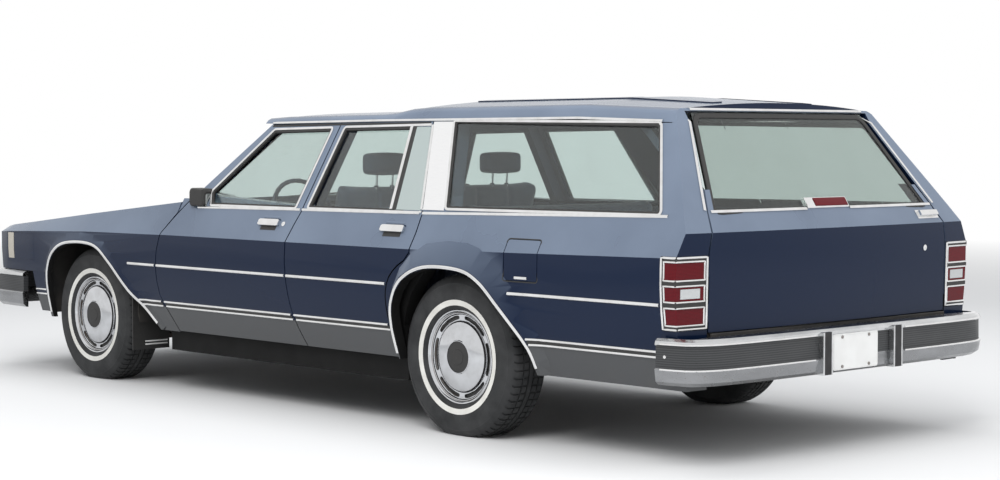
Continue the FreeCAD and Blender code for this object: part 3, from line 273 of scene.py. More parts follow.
# Finishes of two tones, mixed by a noise (scale, detail, stretch) or by ribs (direction, scale).
# ramp sharpens the noise, share is how far the second tone comes in, and rough and metal are gain
# and base. raised is strength and distance of the bump, which follows grain or cells if given.
TWO_TONES = {
    "bright_trim": dict(noise=(14, 4), ramp=(0.4, 0.8), share=0.5, tones=(grey(0.80), (0.60, 0.59, 0.57)),
                        rough=(0.14, 0.07), Metallic=1.0),
    "brushed_panel": dict(noise=(60, 4, (0.4, 0.4, 12.0)), tones=(grey(0.93), (0.84, 0.84, 0.85)),
                          rough=(0.08, 0.12), raised=(0.02, 0.0003), Metallic=1.0),
    "dull_steel": dict(noise=(9, 6), ramp=(0.35, 0.75), tones=((0.36, 0.35, 0.34), (0.16, 0.11, 0.08)),
                       rough=(0.3, 0.4), Metallic=0.9),
    "cast_iron": dict(noise=(18, 6), ramp=(0.35, 0.7), tones=(grey(0.06), (0.14, 0.075, 0.045)), rough=(0.3, 0.5),
                      raised=(0.4, 0.0015), Metallic=0.4),
    "underbody": dict(noise=(7, 6), ramp=(0.35, 0.8), share=0.5, tones=(grey(0.012), (0.10, 0.09, 0.08)),
                      rough=(0.2, 0.65), raised=(0.3, 0.002), grain=(50, 5)),
    "white_band": dict(noise=(12, 5), ramp=(0.35, 0.80), share=0.5, tones=((0.72, 0.71, 0.67), (0.42, 0.40, 0.36)),
                       rough=(0.2, 0.55)),
    "plate_white": dict(noise=(10, 5), ramp=(0.4, 0.85), share=0.3, tones=((0.75, 0.75, 0.74), (0.50, 0.49, 0.47)),
                        rough=(0.2, 0.35), Coat_Weight=0.3),
    "black_rubber": dict(noise=(90, 4), tones=(grey(0.012), (0.035, 0.034, 0.033)), rough=(0.2, 0.5),
                         raised=(0.15, 0.0008)),
    "mirror_glass": dict(noise=(8, 4), ramp=(0.4, 0.8), share=0.2, tones=((0.36, 0.38, 0.38), (0.28, 0.30, 0.30)),
                         rough=(0.06, 0.03), Metallic=1.0),
    "window_glass": dict(noise=(5, 4), ramp=(0.45, 0.8), share=0.3, tones=((0.72, 0.80, 0.78), (0.66, 0.72, 0.70)),
                         rough=(0.05, 0.0), Transmission_Weight=1.0, IOR=1.45),
    "gate_glass": dict(noise=(5, 4), ramp=(0.45, 0.8), share=0.3, tones=((0.50, 0.57, 0.54), (0.46, 0.52, 0.49)),
                       rough=(0.05, 0.0), Transmission_Weight=1.0, IOR=1.45),
    # The vent glass is opaque; its pale tones are painted in for the bright background seen through and reflected
    # in the glass.
    "vent_glass_painted_reflection": dict(noise=(6, 4), ramp=(0.4, 0.8), share=0.3, tones=((0.36, 0.42, 0.41), (0.46, 0.51, 0.50)),
                       rough=(0.08, 0.06), metal=(0.1, 0.4), Coat_Weight=0.6, Coat_Roughness=0.02),
    "red_lens": dict(ribs=("Z", 60), tones=((0.075, 0.001, 0.004), (0.120, 0.003, 0.008)), rough=(0.06, 0.14),
                     raised=(0.12, 0.0005), Coat_Weight=0.12, Coat_Roughness=0.03, Specular_IOR_Level=0.12),
    "clear_lens": dict(ribs=("Y", 40), tones=((0.42, 0.44, 0.45), (0.60, 0.61, 0.61)), rough=(0.08, 0.08),
                       metal=(0.3, 0.2), raised=(0.2, 0.0008), Coat_Weight=0.6, Coat_Roughness=0.03),
    "seat_cloth": dict(noise=(5, 4), tones=((0.055, 0.075, 0.12), (0.10, 0.13, 0.19)), rough=(0.1, 0.8),
                       raised=(0.4, 0.0006), cells=420, Sheen_Weight=0.4, Sheen_Roughness=0.5),
    "cabin_plastic": dict(noise=(4, 3), tones=((0.022, 0.030, 0.050), (0.04, 0.052, 0.08)), rough=(0.15, 0.48),
                          raised=(0.2, 0.0004), cells=700),
}


def paint(name, with_silver=False, lining=None, arches=False):
    """Return worn metallic paint, paled on upward-facing and upper surfaces by sun fading and by painted sky
    reflection, with silver lower panels, a lining on the inside or black arches if asked.
    """
    colours = bpy.context.scene.wagon_paint
    shader = Shader(name, Specular_IOR_Level=0.10, Coat_Roughness=0.03)
    height = shader.axis(2)
    patches = shader.noise(1.7, 4.0)
    upward = shader.facing(2)
    outward = shader.facing(1) * shader.axis(1)
    # Upward-facing and upper surfaces turn paler: partly sun fading, partly painted sky reflection.
    sun_fade_and_sky_sheen = upward.ramp(0.02, 0.50) * (patches * 0.6 + 0.50) * (1 - upward.ramp(0.80, 0.98) * 0.45)
    sun_fade_and_sky_sheen = sun_fade_and_sky_sheen * (height.ramp(0.50, 0.76) * 0.7 + 0.3)
    base = shader.mix(sun_fade_and_sky_sheen, tuple(colours.blue), tuple(colours.sun_fade_and_sky_sheen))
    if with_silver:
        base = shader.mix(height.below(colours.silver_height), base, tuple(colours.silver))
    dust = (1 - height.ramp(0.20, 0.46)) * shader.noise(9.0, 5.0).ramp(0.40, 0.85) * 0.45
    base = shader.mix(dust, base, tuple(colours.dust))
    black = height.below(0.3065)
    if arches:
        skin = height.ramp(0.336, 0.560) * 0.044 + 0.881
        inner = black.math("MAXIMUM", shader.axis(1).size().below(skin), outward.below(0.25))
        arch = shader.from_axle().size().below(0.60) * inner * height.below(0.735)
        black = black.math("MAXIMUM", black, arch)
    base = shader.mix(black, base, grey(0.010))
    rough = patches * 0.08 + dust * 0.4 + sun_fade_and_sky_sheen * 0.12 + black * 0.4 + 0.16
    coat = (0.22 - dust * 0.20) * (1 - black)
    metal = 0.25 - black * 0.25
    if lining:
        inside = upward.below(-0.4)
        cloth = (0.42, 0.43, 0.44)
        if with_silver:
            inside = outward.below(-0.05) * height.below(0.95)
            cloth = shader.mix(height.above(lining), grey(0.012), (0.055, 0.075, 0.12))
        base = shader.mix(inside, base, cloth)
        rough = rough + inside * 0.5
        coat = coat * (1 - inside)
        metal = metal * (1 - inside)
    shader.feed(Base_Color=base, Roughness=rough, Coat_Weight=coat, Metallic=metal)
    shader.bump(shader.noise(420.0, 2.0) + shader.noise(24.0, 2.0) * 2.0, 0.03, 0.0004)
    return shader.material


def chrome(name, strip_low, strip_high):
    """Return weathered bumper chrome with a ribbed rubber strip between two heights."""
    shader = Shader(name)
    haze = shader.noise(6.0, 6.0, (1, 1, 3)).ramp(0.3, 0.75)
    pits = shader.noise(160.0, 3.0).ramp(0.66, 0.72)
    height = shader.axis(2)
    strip = height.above(strip_low) * height.below(strip_high)
    dull = haze * (1 - height.ramp(strip_low - 0.012, strip_low - 0.002) * 0.5)
    colour = shader.mix(dull * 0.8, (0.66, 0.67, 0.68), grey(0.34))
    colour = shader.mix(height.below(strip_low) * 0.75, colour, (0.20, 0.205, 0.215))
    colour = shader.mix(pits * 0.5, colour, (0.20, 0.15, 0.10))
    ribs = haze.math("SINE", height * 700.0)
    rubber = shader.mix(ribs * 0.5 + 0.5, (0.016, 0.017, 0.018), (0.050, 0.052, 0.055))
    shader.feed(Base_Color=shader.mix(strip, colour, rubber), Metallic=1 - strip,
                Roughness=dull * 0.26 + pits * 0.3 + strip * 0.35 + 0.13)
    shader.bump(shader.noise(40.0, 3.0) * 0.3 + ribs * strip, 0.12, 0.001)
    return shader.material


def guard_chrome(name):
    """Return chrome of the bumper guards with a rubber pad on the face."""
    shader = Shader(name)
    haze = shader.noise(20.0, 5.0).ramp(0.3, 0.75)
    pad = shader.facing(0).below(-0.7) * (shader.axis(1).size() - 0.236).size().below(0.022)
    colour = shader.mix(haze * 0.7, (0.70, 0.71, 0.72), grey(0.40))
    shader.feed(Base_Color=shader.mix(pad, colour, (0.014, 0.014, 0.015)), Metallic=1 - pad,
                Roughness=haze * 0.2 + pad * 0.4 + 0.14)
    return shader.material


def cover_metal(name):
    """Return worn bright metal of the wheel covers, with dark rings of painted shade in the grooves round the dome
    and the slots.
    """
    shader = Shader(name, Metallic=1.0)
    haze = shader.noise(18.0, 5.0).ramp(0.4, 0.8)
    across = shader.from_axle()
    up = shader.axis(2) - AXLE_Z
    radius = haze.math("SQRT", across * across + up * up)
    # Dark rings painted into the grooves are painted shade of these recesses.
    painted_groove_shade = radius.above(0.1505) * radius.below(0.1560) + radius.above(0.1835) * radius.below(0.1875)
    metal = shader.mix(haze * 0.5, (0.60, 0.61, 0.63), grey(0.38))
    shader.feed(Base_Color=shader.mix(painted_groove_shade, metal, (0.030, 0.030, 0.032)),
                Roughness=haze * 0.12 + painted_groove_shade * 0.3 + 0.05)
    return shader.material


def grille_metal(name):
    """Return the finish of the grille: bright bars over a dark back."""
    shader = Shader(name)
    deep = shader.axis(0).below(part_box("grille")[1].x - 0.008)
    haze = shader.noise(14.0, 4.0).ramp(0.4, 0.8)
    bars = shader.mix(haze * 0.5, grey(0.62), (0.46, 0.46, 0.45))
    shader.feed(Base_Color=shader.mix(deep, bars, (0.012, 0.012, 0.013)), Metallic=1 - deep,
                Roughness=haze * 0.14 + deep * 0.4 + 0.10)
    return shader.material


def tyre_rubber(name):
    """Return dusty tyre rubber."""
    shader = Shader(name)
    grain = shader.noise(70.0, 5.0)
    dust = shader.noise(11.0, 5.0).ramp(0.35, 0.8)
    shader.feed(Base_Color=shader.mix(dust * 0.40, (0.014, 0.015, 0.016), (0.080, 0.080, 0.082)),
                Roughness=grain * 0.15 + 0.66)
    shader.bump(grain, 0.2, 0.0008)
    return shader.material


def corner_lamp(name):
    """Return lamp glass of the nose, which runs back into the paint of the fender behind a dark joint."""
    colours = bpy.context.scene.wagon_paint
    shader = Shader(name, Coat_Weight=0.22, Coat_Roughness=0.03, Specular_IOR_Level=0.10)
    along = shader.axis(0)
    joint_x, joint_half = 2.428, 0.003
    ribs = shader.ribs("Z", 50)
    lamp = along.above(joint_x + joint_half)
    joint = along.above(joint_x - joint_half) * along.below(joint_x + joint_half)
    glass = shader.mix(ribs, (0.40, 0.37, 0.32), (0.62, 0.58, 0.50))
    colour = shader.mix(along.above(joint_x), tuple(colours.blue), glass)
    shader.feed(Base_Color=shader.mix(joint, colour, grey(0.01)), Roughness=0.22 - lamp * 0.10,
                Metallic=lamp * 0.05 + 0.25)
    shader.bump(ribs * lamp, 0.2, 0.0008)
    return shader.material


def carpet(name, height):
    """Return blue-grey carpet above a height, and underbody below it."""
    shader = Shader(name)
    pile = shader.noise(260.0, 4.0)
    top = shader.axis(2).above(height)
    dust = shader.noise(7.0, 6.0).ramp(0.35, 0.8)
    cloth = shader.mix(pile, (0.03, 0.04, 0.06), (0.07, 0.085, 0.12))
    under = shader.mix(dust * 0.5, grey(0.012), (0.10, 0.09, 0.08))
    shader.feed(Base_Color=shader.mix(top, under, cloth), Roughness=pile * 0.1 + top * 0.15 + 0.68)
    shader.bump(pile, 0.5, 0.002)
    return shader.material


# Finishes with a function of their own, and what it takes after the name
FINISHES = {
    "body_paint": (paint, True, 0.60, True), "door_paint": (paint, True, 0.40, True),
    "frame_paint": (paint, False, None, True), "upper_paint": (paint,), "roof_paint": (paint, False, 1.0),
    "rear_chrome": (chrome, 0.4025, 0.4905), "front_chrome": (chrome, 0.4355, 0.5225),
    "guard_chrome": (guard_chrome,), "cover_metal": (cover_metal,), "grille_metal": (grille_metal,),
    "tyre_rubber": (tyre_rubber,), "corner_lamp": (corner_lamp,), "floor_carpet": (carpet, 0.326),
    "load_carpet": (carpet, 0.596),
}

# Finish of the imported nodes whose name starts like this; the first that fits counts
NODE_FINISHES = {
    "door_glass": "window_glass", "door": "door_paint", "fender": "body_paint", "quarter": "body_paint",
    "side_frame": "frame_paint", "hood": "upper_paint", "roof": "roof_paint", "header": "upper_paint",
    "tailgate_glass": "gate_glass", "tailgate": "upper_paint", "fixed_glass": "window_glass",
    "mirror": "black_rubber", "grille": "grille_metal", "headlamps": "corner_lamp", "front_bumper": "front_chrome",
    "rear_bumper": "rear_chrome", "bumper_guards": "guard_chrome", "tail_lamp_lenses": "red_lens",
    "tail_lamps": "black_rubber", "seats": "seat_cloth", "dashboard": "cabin_plastic",
    "steering_wheel": "cabin_plastic", "frame": "underbody", "floor_pan": "floor_carpet",
    "load_floor": "load_carpet", "firewall": "underbody", "front_liners": "underbody", "powertrain": "cast_iron",
    "rear_axle": "cast_iron", "suspension": "cast_iron", "knuckle": "cast_iron", "exhaust": "dull_steel",
    "fuel_tank": "underbody", "mud_flaps": "black_rubber", "tyre": "tyre_rubber", "rim": "bright_trim",
}


class WAGON_OT_finishes(bpy.types.Operator):
    """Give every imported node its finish."""
    bl_idname = "wagon.finishes"
    bl_label = "Node finishes"

    def execute(self, context):
        for name, node in NODES.items():
            finish = next(f for start, f in NODE_FINISHES.items() if name.startswith(start))
            node.data.materials.clear()
            node.data.materials.append(finish_named(finish))
        return {"FINISHED"}


# Lines, sections and surfaces

def smooth_line(points, steps):
    """Return points of a smooth open line through the given ones."""
    padded = [points[0]] + list(points) + [points[-1]]
    line = []
    for a, b, c, d in zip(padded, padded[1:], padded[2:], padded[3:]):
        for step in range(steps):
            t = step / steps
            line.append(tuple(q + t * (r - p) / 2 + t * t * (2 * p - 5 * q + 4 * r - s) / 2
                              + t * t * t * (3 * q - p - 3 * r + s) / 2 for p, q, r, s in zip(a, b, c, d)))
    return line + [tuple(points[-1])]


def dense(points, step=0.06):
    """Return a line's points with others added between, at most a step apart."""
    line = []
    for a, b in zip(points, points[1:]):
        count = max(1, math.ceil(math.dist(a, b) / step))
        line += [tuple(p + (q - p) * k / count for p, q in zip(a, b)) for k in range(count)]
    return line + [tuple(points[-1])]


def rounded(corners, radius, steps=5):
    """Return a closed outline with its corners rounded."""
    line = []
    for before, corner, after in zip(corners[-1:] + corners[:-1], corners, corners[1:] + corners[:1]):
        ends = []
        for other in (before, after):
            reach = min(radius / math.dist(corner, other), 0.45)
            ends.append([c + reach * (o - c) for c, o in zip(corner, other)])
        for step in range(steps + 1):
            t = step / steps
            line.append(tuple((1 - t) ** 2 * p + 2 * t * (1 - t) * c + t * t * q
                              for p, c, q in zip(ends[0], corner, ends[1])))
    return line


def widened(outline, shift):
    """Return a closed outline moved outwards from its middle line by a shift."""
    turn = sum(a[0] * b[1] - b[0] * a[1] for a, b in zip(outline, outline[1:] + outline[:1]))
    sign = 1 if turn > 0 else -1
    moved = []
    for before, here, after in zip(outline[-1:] + outline[:-1], outline, outline[1:] + outline[:1]):
        length = math.dist(before, after)
        moved.append((here[0] + sign * shift * (after[1] - before[1]) / length,
                      here[1] - sign * shift * (after[0] - before[0]) / length))
    return moved


def bead(width, height, sink=0.002, steps=6):
    """Return the closed section of a half-round strip."""
    half = width / 2
    angles = [math.pi * k / steps for k in range(steps + 1)]
    return [(-half, -sink)] + [(-half * math.cos(a), height * math.sin(a)) for a in angles] + [(half, -sink)]


def slab(width, low, high, radius=0.003):
    """Return the closed section of a rounded flat strip."""
    half = width / 2
    return rounded([(-half, low), (-half, high), (half, high), (half, low)], radius, 3)


class Surface:
    """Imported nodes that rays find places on, from starts well outside them."""
    DROPS = (0.0, 0.006, 0.012, 0.020, 0.030)
    SIDE_START = 1.4
    BACK_START = -3.2
    AHEAD_START = 1.6

    def __init__(self, *names):
        corners, faces = [], []
        for name in names:
            mesh = NODES[name].data
            start = len(corners)
            corners += [corner.co.copy() for corner in mesh.vertices]
            faces += [tuple(start + k for k in face.vertices) for face in mesh.polygons]
        self.tree = BVHTree.FromPolygons(corners, faces)

    def cast(self, start, direction):
        """Return place and outward normal where a ray meets the surface, or would a little lower."""
        direction = Vector(direction)
        for drop in self.DROPS:
            place, normal, _, _ = self.tree.ray_cast(Vector(start) - Vector((0, 0, drop)), direction)
            if place is not None:
                return place + Vector((0, 0, drop)), normal if normal.dot(direction) < 0 else -normal
        raise ValueError("no surface met from %s" % (tuple(start),))

    def side(self, points, sign):
        """Return places and normals on the side of the body at (x, z) points."""
        return zip(*(self.cast((x, self.SIDE_START * sign, z), (0, -sign, 0)) for x, z in points))

    def back(self, points):
        """Return places and normals on the rear face at (y, z) points."""
        return zip(*(self.cast((self.BACK_START, y, z), (1, 0, 0)) for y, z in points))

    def ahead(self, points):
        """Return places and normals on the windshield at (y, z) points."""
        return zip(*(self.cast((self.AHEAD_START, y, z), (-1, 0, 0)) for y, z in points))

    def wrap(self, centre, sign, spots):
        """Return places and normals round a rear corner, met from outside at (angle, z) spots."""
        hits = []
        for angle, z in spots:
            out = Vector((-math.cos(angle), sign * math.sin(angle), 0))
            hits.append(self.cast(Vector((centre[0], sign * centre[1], z)) + out * 1.2, -out))
        return zip(*hits)


class Piece:
    """Geometry of one object, gathered shape by shape, each with its own finish."""

    def __init__(self):
        self.corners, self.faces, self.marks, self.finishes = [], [], [], []

    def add(self, corners, faces, finish):
        """Add corners and faces; finish is one name, or one for each face."""
        start = len(self.corners)
        self.corners += [tuple(corner) for corner in corners]
        names = [finish] * len(faces) if isinstance(finish, str) else finish
        for face, name in zip(faces, names):
            if name not in self.finishes:
                self.finishes.append(name)
            self.faces.append([start + k for k in face])
            self.marks.append(self.finishes.index(name))

    def rings(self, rings, finish, closed=False):
        """Add the skin through closed rings; finish is one name, or one for each point of a ring."""
        size, count = len(rings[0]), len(rings)
        names = [finish] * size if isinstance(finish, str) else finish
        faces, marks = [], []
        for row in range(count if closed else count - 1):
            ahead = (row + 1) % count
            for k in range(size):
                near = (k + 1) % size
                faces.append([row * size + k, row * size + near, ahead * size + near, ahead * size + k])
                marks.append(names[k])
        if not closed:
            faces += [list(range(size))[::-1], [(count - 1) * size + k for k in range(size)]]
            marks += [names[0]] * 2
        self.add([corner for ring in rings for corner in ring], faces, marks)

    def sweep(self, places, normals, section, finish, closed=False):
        """Add a strip along places; its section holds sideways and outward distances; one normal serves all."""
        places = list(places)
        normals = [normals] * len(places) if isinstance(normals, Vector) else list(normals)
        count = len(places)
        rings = []
        for index, (place, normal) in enumerate(zip(places, normals)):
            before = places[index - 1] if closed or index else place
            after = places[(index + 1) % count] if closed or index + 1 < count else place
            along = (after - before).normalized()
            aside = normal.cross(along).normalized()
            rise = along.cross(aside)
            rings.append([place + aside * u + rise * v for u, v in section])
        self.rings(rings, finish, closed)

    def turn(self, profile, centre, axis, finish, steps=48):
        """Add a form turned about an axis through the centre, from (radius, height) points."""
        axis = Vector(axis).normalized()
        across = axis.orthogonal().normalized()
        other = axis.cross(across)
        rings = []
        for k in range(steps):
            angle = 2 * math.pi * k / steps
            aside = across * math.cos(angle) + other * math.sin(angle)
            rings.append([Vector(centre) + aside * max(r, FINE) + axis * h for r, h in profile])
        self.rings(rings, finish, closed=True)

    def lock(self, place, axis, radius, rim, height):
        """Add a bright lock cylinder with a keyhole's recess."""
        key = 0.004
        self.turn([(0, -0.002), (radius, -0.002), (radius, height - 0.002), (rim, height), (key, height),
                   (key, height - 0.0015), (0, height - 0.0015)], place, axis, "bright_trim", 24)

    def block(self, low, high, finish, radius, steps):
        """Add a box with rounded edges."""
        shape = bmesh.new()
        low, high = Vector(low), Vector(high)
        spot = Matrix.Translation((low + high) / 2) @ Matrix.Diagonal((*(high - low), 1.0))
        bmesh.ops.create_cube(shape, size=1.0, matrix=spot)
        bmesh.ops.bevel(shape, geom=shape.edges[:], offset=radius, segments=steps, profile=0.5, affect="EDGES")
        self.absorb(shape, finish)
        shape.free()

    def absorb(self, shape, finish):
        """Add what a bmesh holds."""
        shape.verts.index_update()
        faces = [[corner.index for corner in face.verts] for face in shape.faces]
        self.add([corner.co for corner in shape.verts], faces, finish)

    def panel(self, rows, normals, rise, finish):
        """Add a thin panel over rows of places, raised along their normals."""
        sink = 0.0015
        top = [[p + n * rise for p, n in zip(row, ns)] for row, ns in zip(rows, normals)]
        under = [[p - n * sink for p, n in zip(row, ns)] for row, ns in zip(rows, normals)]
        self.rings([up + down[::-1] for up, down in zip(top, under)], finish)

    def place(self, name, body, material_slot, replaces=(), angle=35.0):
        """Make the object, let it ride on its body and return it."""
        mesh = bpy.data.meshes.new(name)
        mesh.from_pydata(self.corners, [], self.faces)
        for finish in self.finishes:
            mesh.materials.append(finish_named(finish))
        mesh.polygons.foreach_set("material_index", self.marks)
        shape = bmesh.new()
        shape.from_mesh(mesh)
        bmesh.ops.recalc_face_normals(shape, faces=shape.faces[:])
        shape.to_mesh(mesh)
        shape.free()
        mesh.shade_smooth()
        mesh.set_sharp_from_angle(angle=math.radians(angle))
        made = bpy.data.objects.new(name, mesh)
        bpy.context.scene.collection.objects.link(made)
        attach(made, body)
        if replaces:
            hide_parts(*replaces)
        return made


# Places on the body, in metres: x and z on the side, y and z on the rear
FRONT_WINDOW = [(0.600, 0.962), (0.640, 1.020), (0.350, 1.325), (-0.097, 1.332), (-0.084, 0.962)]
REAR_WINDOW = [(-0.186, 0.965), (-0.199, 1.334), (-0.700, 1.340), (-0.866, 0.966)]
REAR_FRAME = [(-0.186, 0.965), (-0.199, 1.334), (-0.819, 1.342), (-0.986, 0.966)]
QUARTER_WINDOW = [(-1.150, 0.985), (-0.965, 1.366), (-2.225, 1.345), (-2.410, 0.992)]
FRONT_ARCH = [(0.392, 0.335), (0.385, 0.430), (0.362, 0.560), (0.290, 0.665), (0.150, 0.720), (-0.110, 0.720),
              (-0.258, 0.641), (-0.430, 0.493), (-0.552, 0.418), (-0.640, 0.335)]
REAR_ARCH = [(0.365, 0.335), (0.370, 0.450), (0.353, 0.560), (0.280, 0.662), (0.130, 0.722), (-0.090, 0.722),
             (-0.210, 0.680), (-0.312, 0.593), (-0.465, 0.432), (-0.505, 0.335)]
# Straight mouldings: the panel they lie on, then x and z at their front and rear ends
BELT_RUNS = [("door_front", (0.700, 0.940), (-0.132, 0.948)), ("door_rear", (-0.148, 0.948), (-0.990, 0.954)),
             ("quarter_panel", (-1.010, 0.954), (-2.460, 0.979))]
LINE_RUNS = [("fender", (1.240, 0.642), (0.992, 0.642)), ("door_front", (0.972, 0.642), (-0.098, 0.642)),
             ("door_rear", (-0.114, 0.642), (-0.838, 0.642)), ("quarter_panel", (-1.640, 0.642), (-2.484, 0.642))]
LOWER_RUNS = [("fender", (1.150, 0.446), (0.958, 0.446)), ("door_front", (0.930, 0.446), (-0.124, 0.446)),
              ("door_rear", (-0.149, 0.446), (-0.836, 0.446)), ("quarter_panel", (-1.748, 0.446), (-2.484, 0.446))]
# Kinds of straight moulding: runs, width and height of the bead, how far each bead lies off the run
MOULDINGS = [(BELT_RUNS, 0.015, 0.006, (0.004,)), (LINE_RUNS, 0.015, 0.006, (0,)),
             (LOWER_RUNS, 0.012, 0.007, (0.011, -0.011))]
SEAM_LEAN = 0.65  # how far a door seam leans along the car, for each metre of height
# Door handles: x of both ends, z
HANDLES = {"door_front": (-0.010, 0.140, 0.890), "door_rear": (-0.925, -0.775, 0.890)}
GLASS_CORNERS = [(0.720, 0.985), (0.560, 1.392), (-0.560, 1.392), (-0.720, 0.985)]
GATE_TRIM = [(0.753, 1.003), (0.715, 1.090), (0.578, 1.396)]
TRIM_STRIP = slab(0.013, -0.003, 0.006)
SIDE_LEAN = 0.575  # how far the side windows lean inwards, for each metre of height


def window_normal(sign):
    """Return the outward direction of the side windows."""
    return Vector((0, sign * 0.87, 0.5))


def panel_body(panel, side):
    """Return the body that a panel of one side belongs to."""
    return "%s_%s" % (panel, side) if panel.startswith("door") else "chassis"


def side_nodes(side):
    """Return the names of the outer panels of one side."""
    stems = ("fender", "door_front", "door_rear", "quarter_panel", "side_frame")
    return ["%s_%s" % (stem, side) for stem in stems] + ["roof", "fixed_glass"]


class WAGON_OT_panels(bpy.types.Operator):
    """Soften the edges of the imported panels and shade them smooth."""
    bl_idname = "wagon.panels"
    bl_label = "Panel edges"

    def execute(self, context):
        starts = ("door", "fender", "quarter", "hood", "roof", "header", "tailgate", "mirror", "side_frame",
                  "front_bumper", "rear_bumper", "bumper_guards", "tail_lamp", "headlamps", "grille")
        for name, node in NODES.items():
            if not name.startswith(starts) or "glass" in name:
                continue
            join = node.modifiers.new("join", "WELD")
            join.merge_threshold = 0.00005
            edge = node.modifiers.new("edge", "BEVEL")
            edge.width = 0.0018
            edge.segments = 3
            edge.limit_method = "ANGLE"
            edge.angle_limit = math.radians(38)
            crease = node.modifiers.new("crease", "EDGE_SPLIT")
            crease.split_angle = math.radians(24)
            node.modifiers.new("shade", "WEIGHTED_NORMAL")
            node.data.shade_smooth()
        return {"FINISHED"}


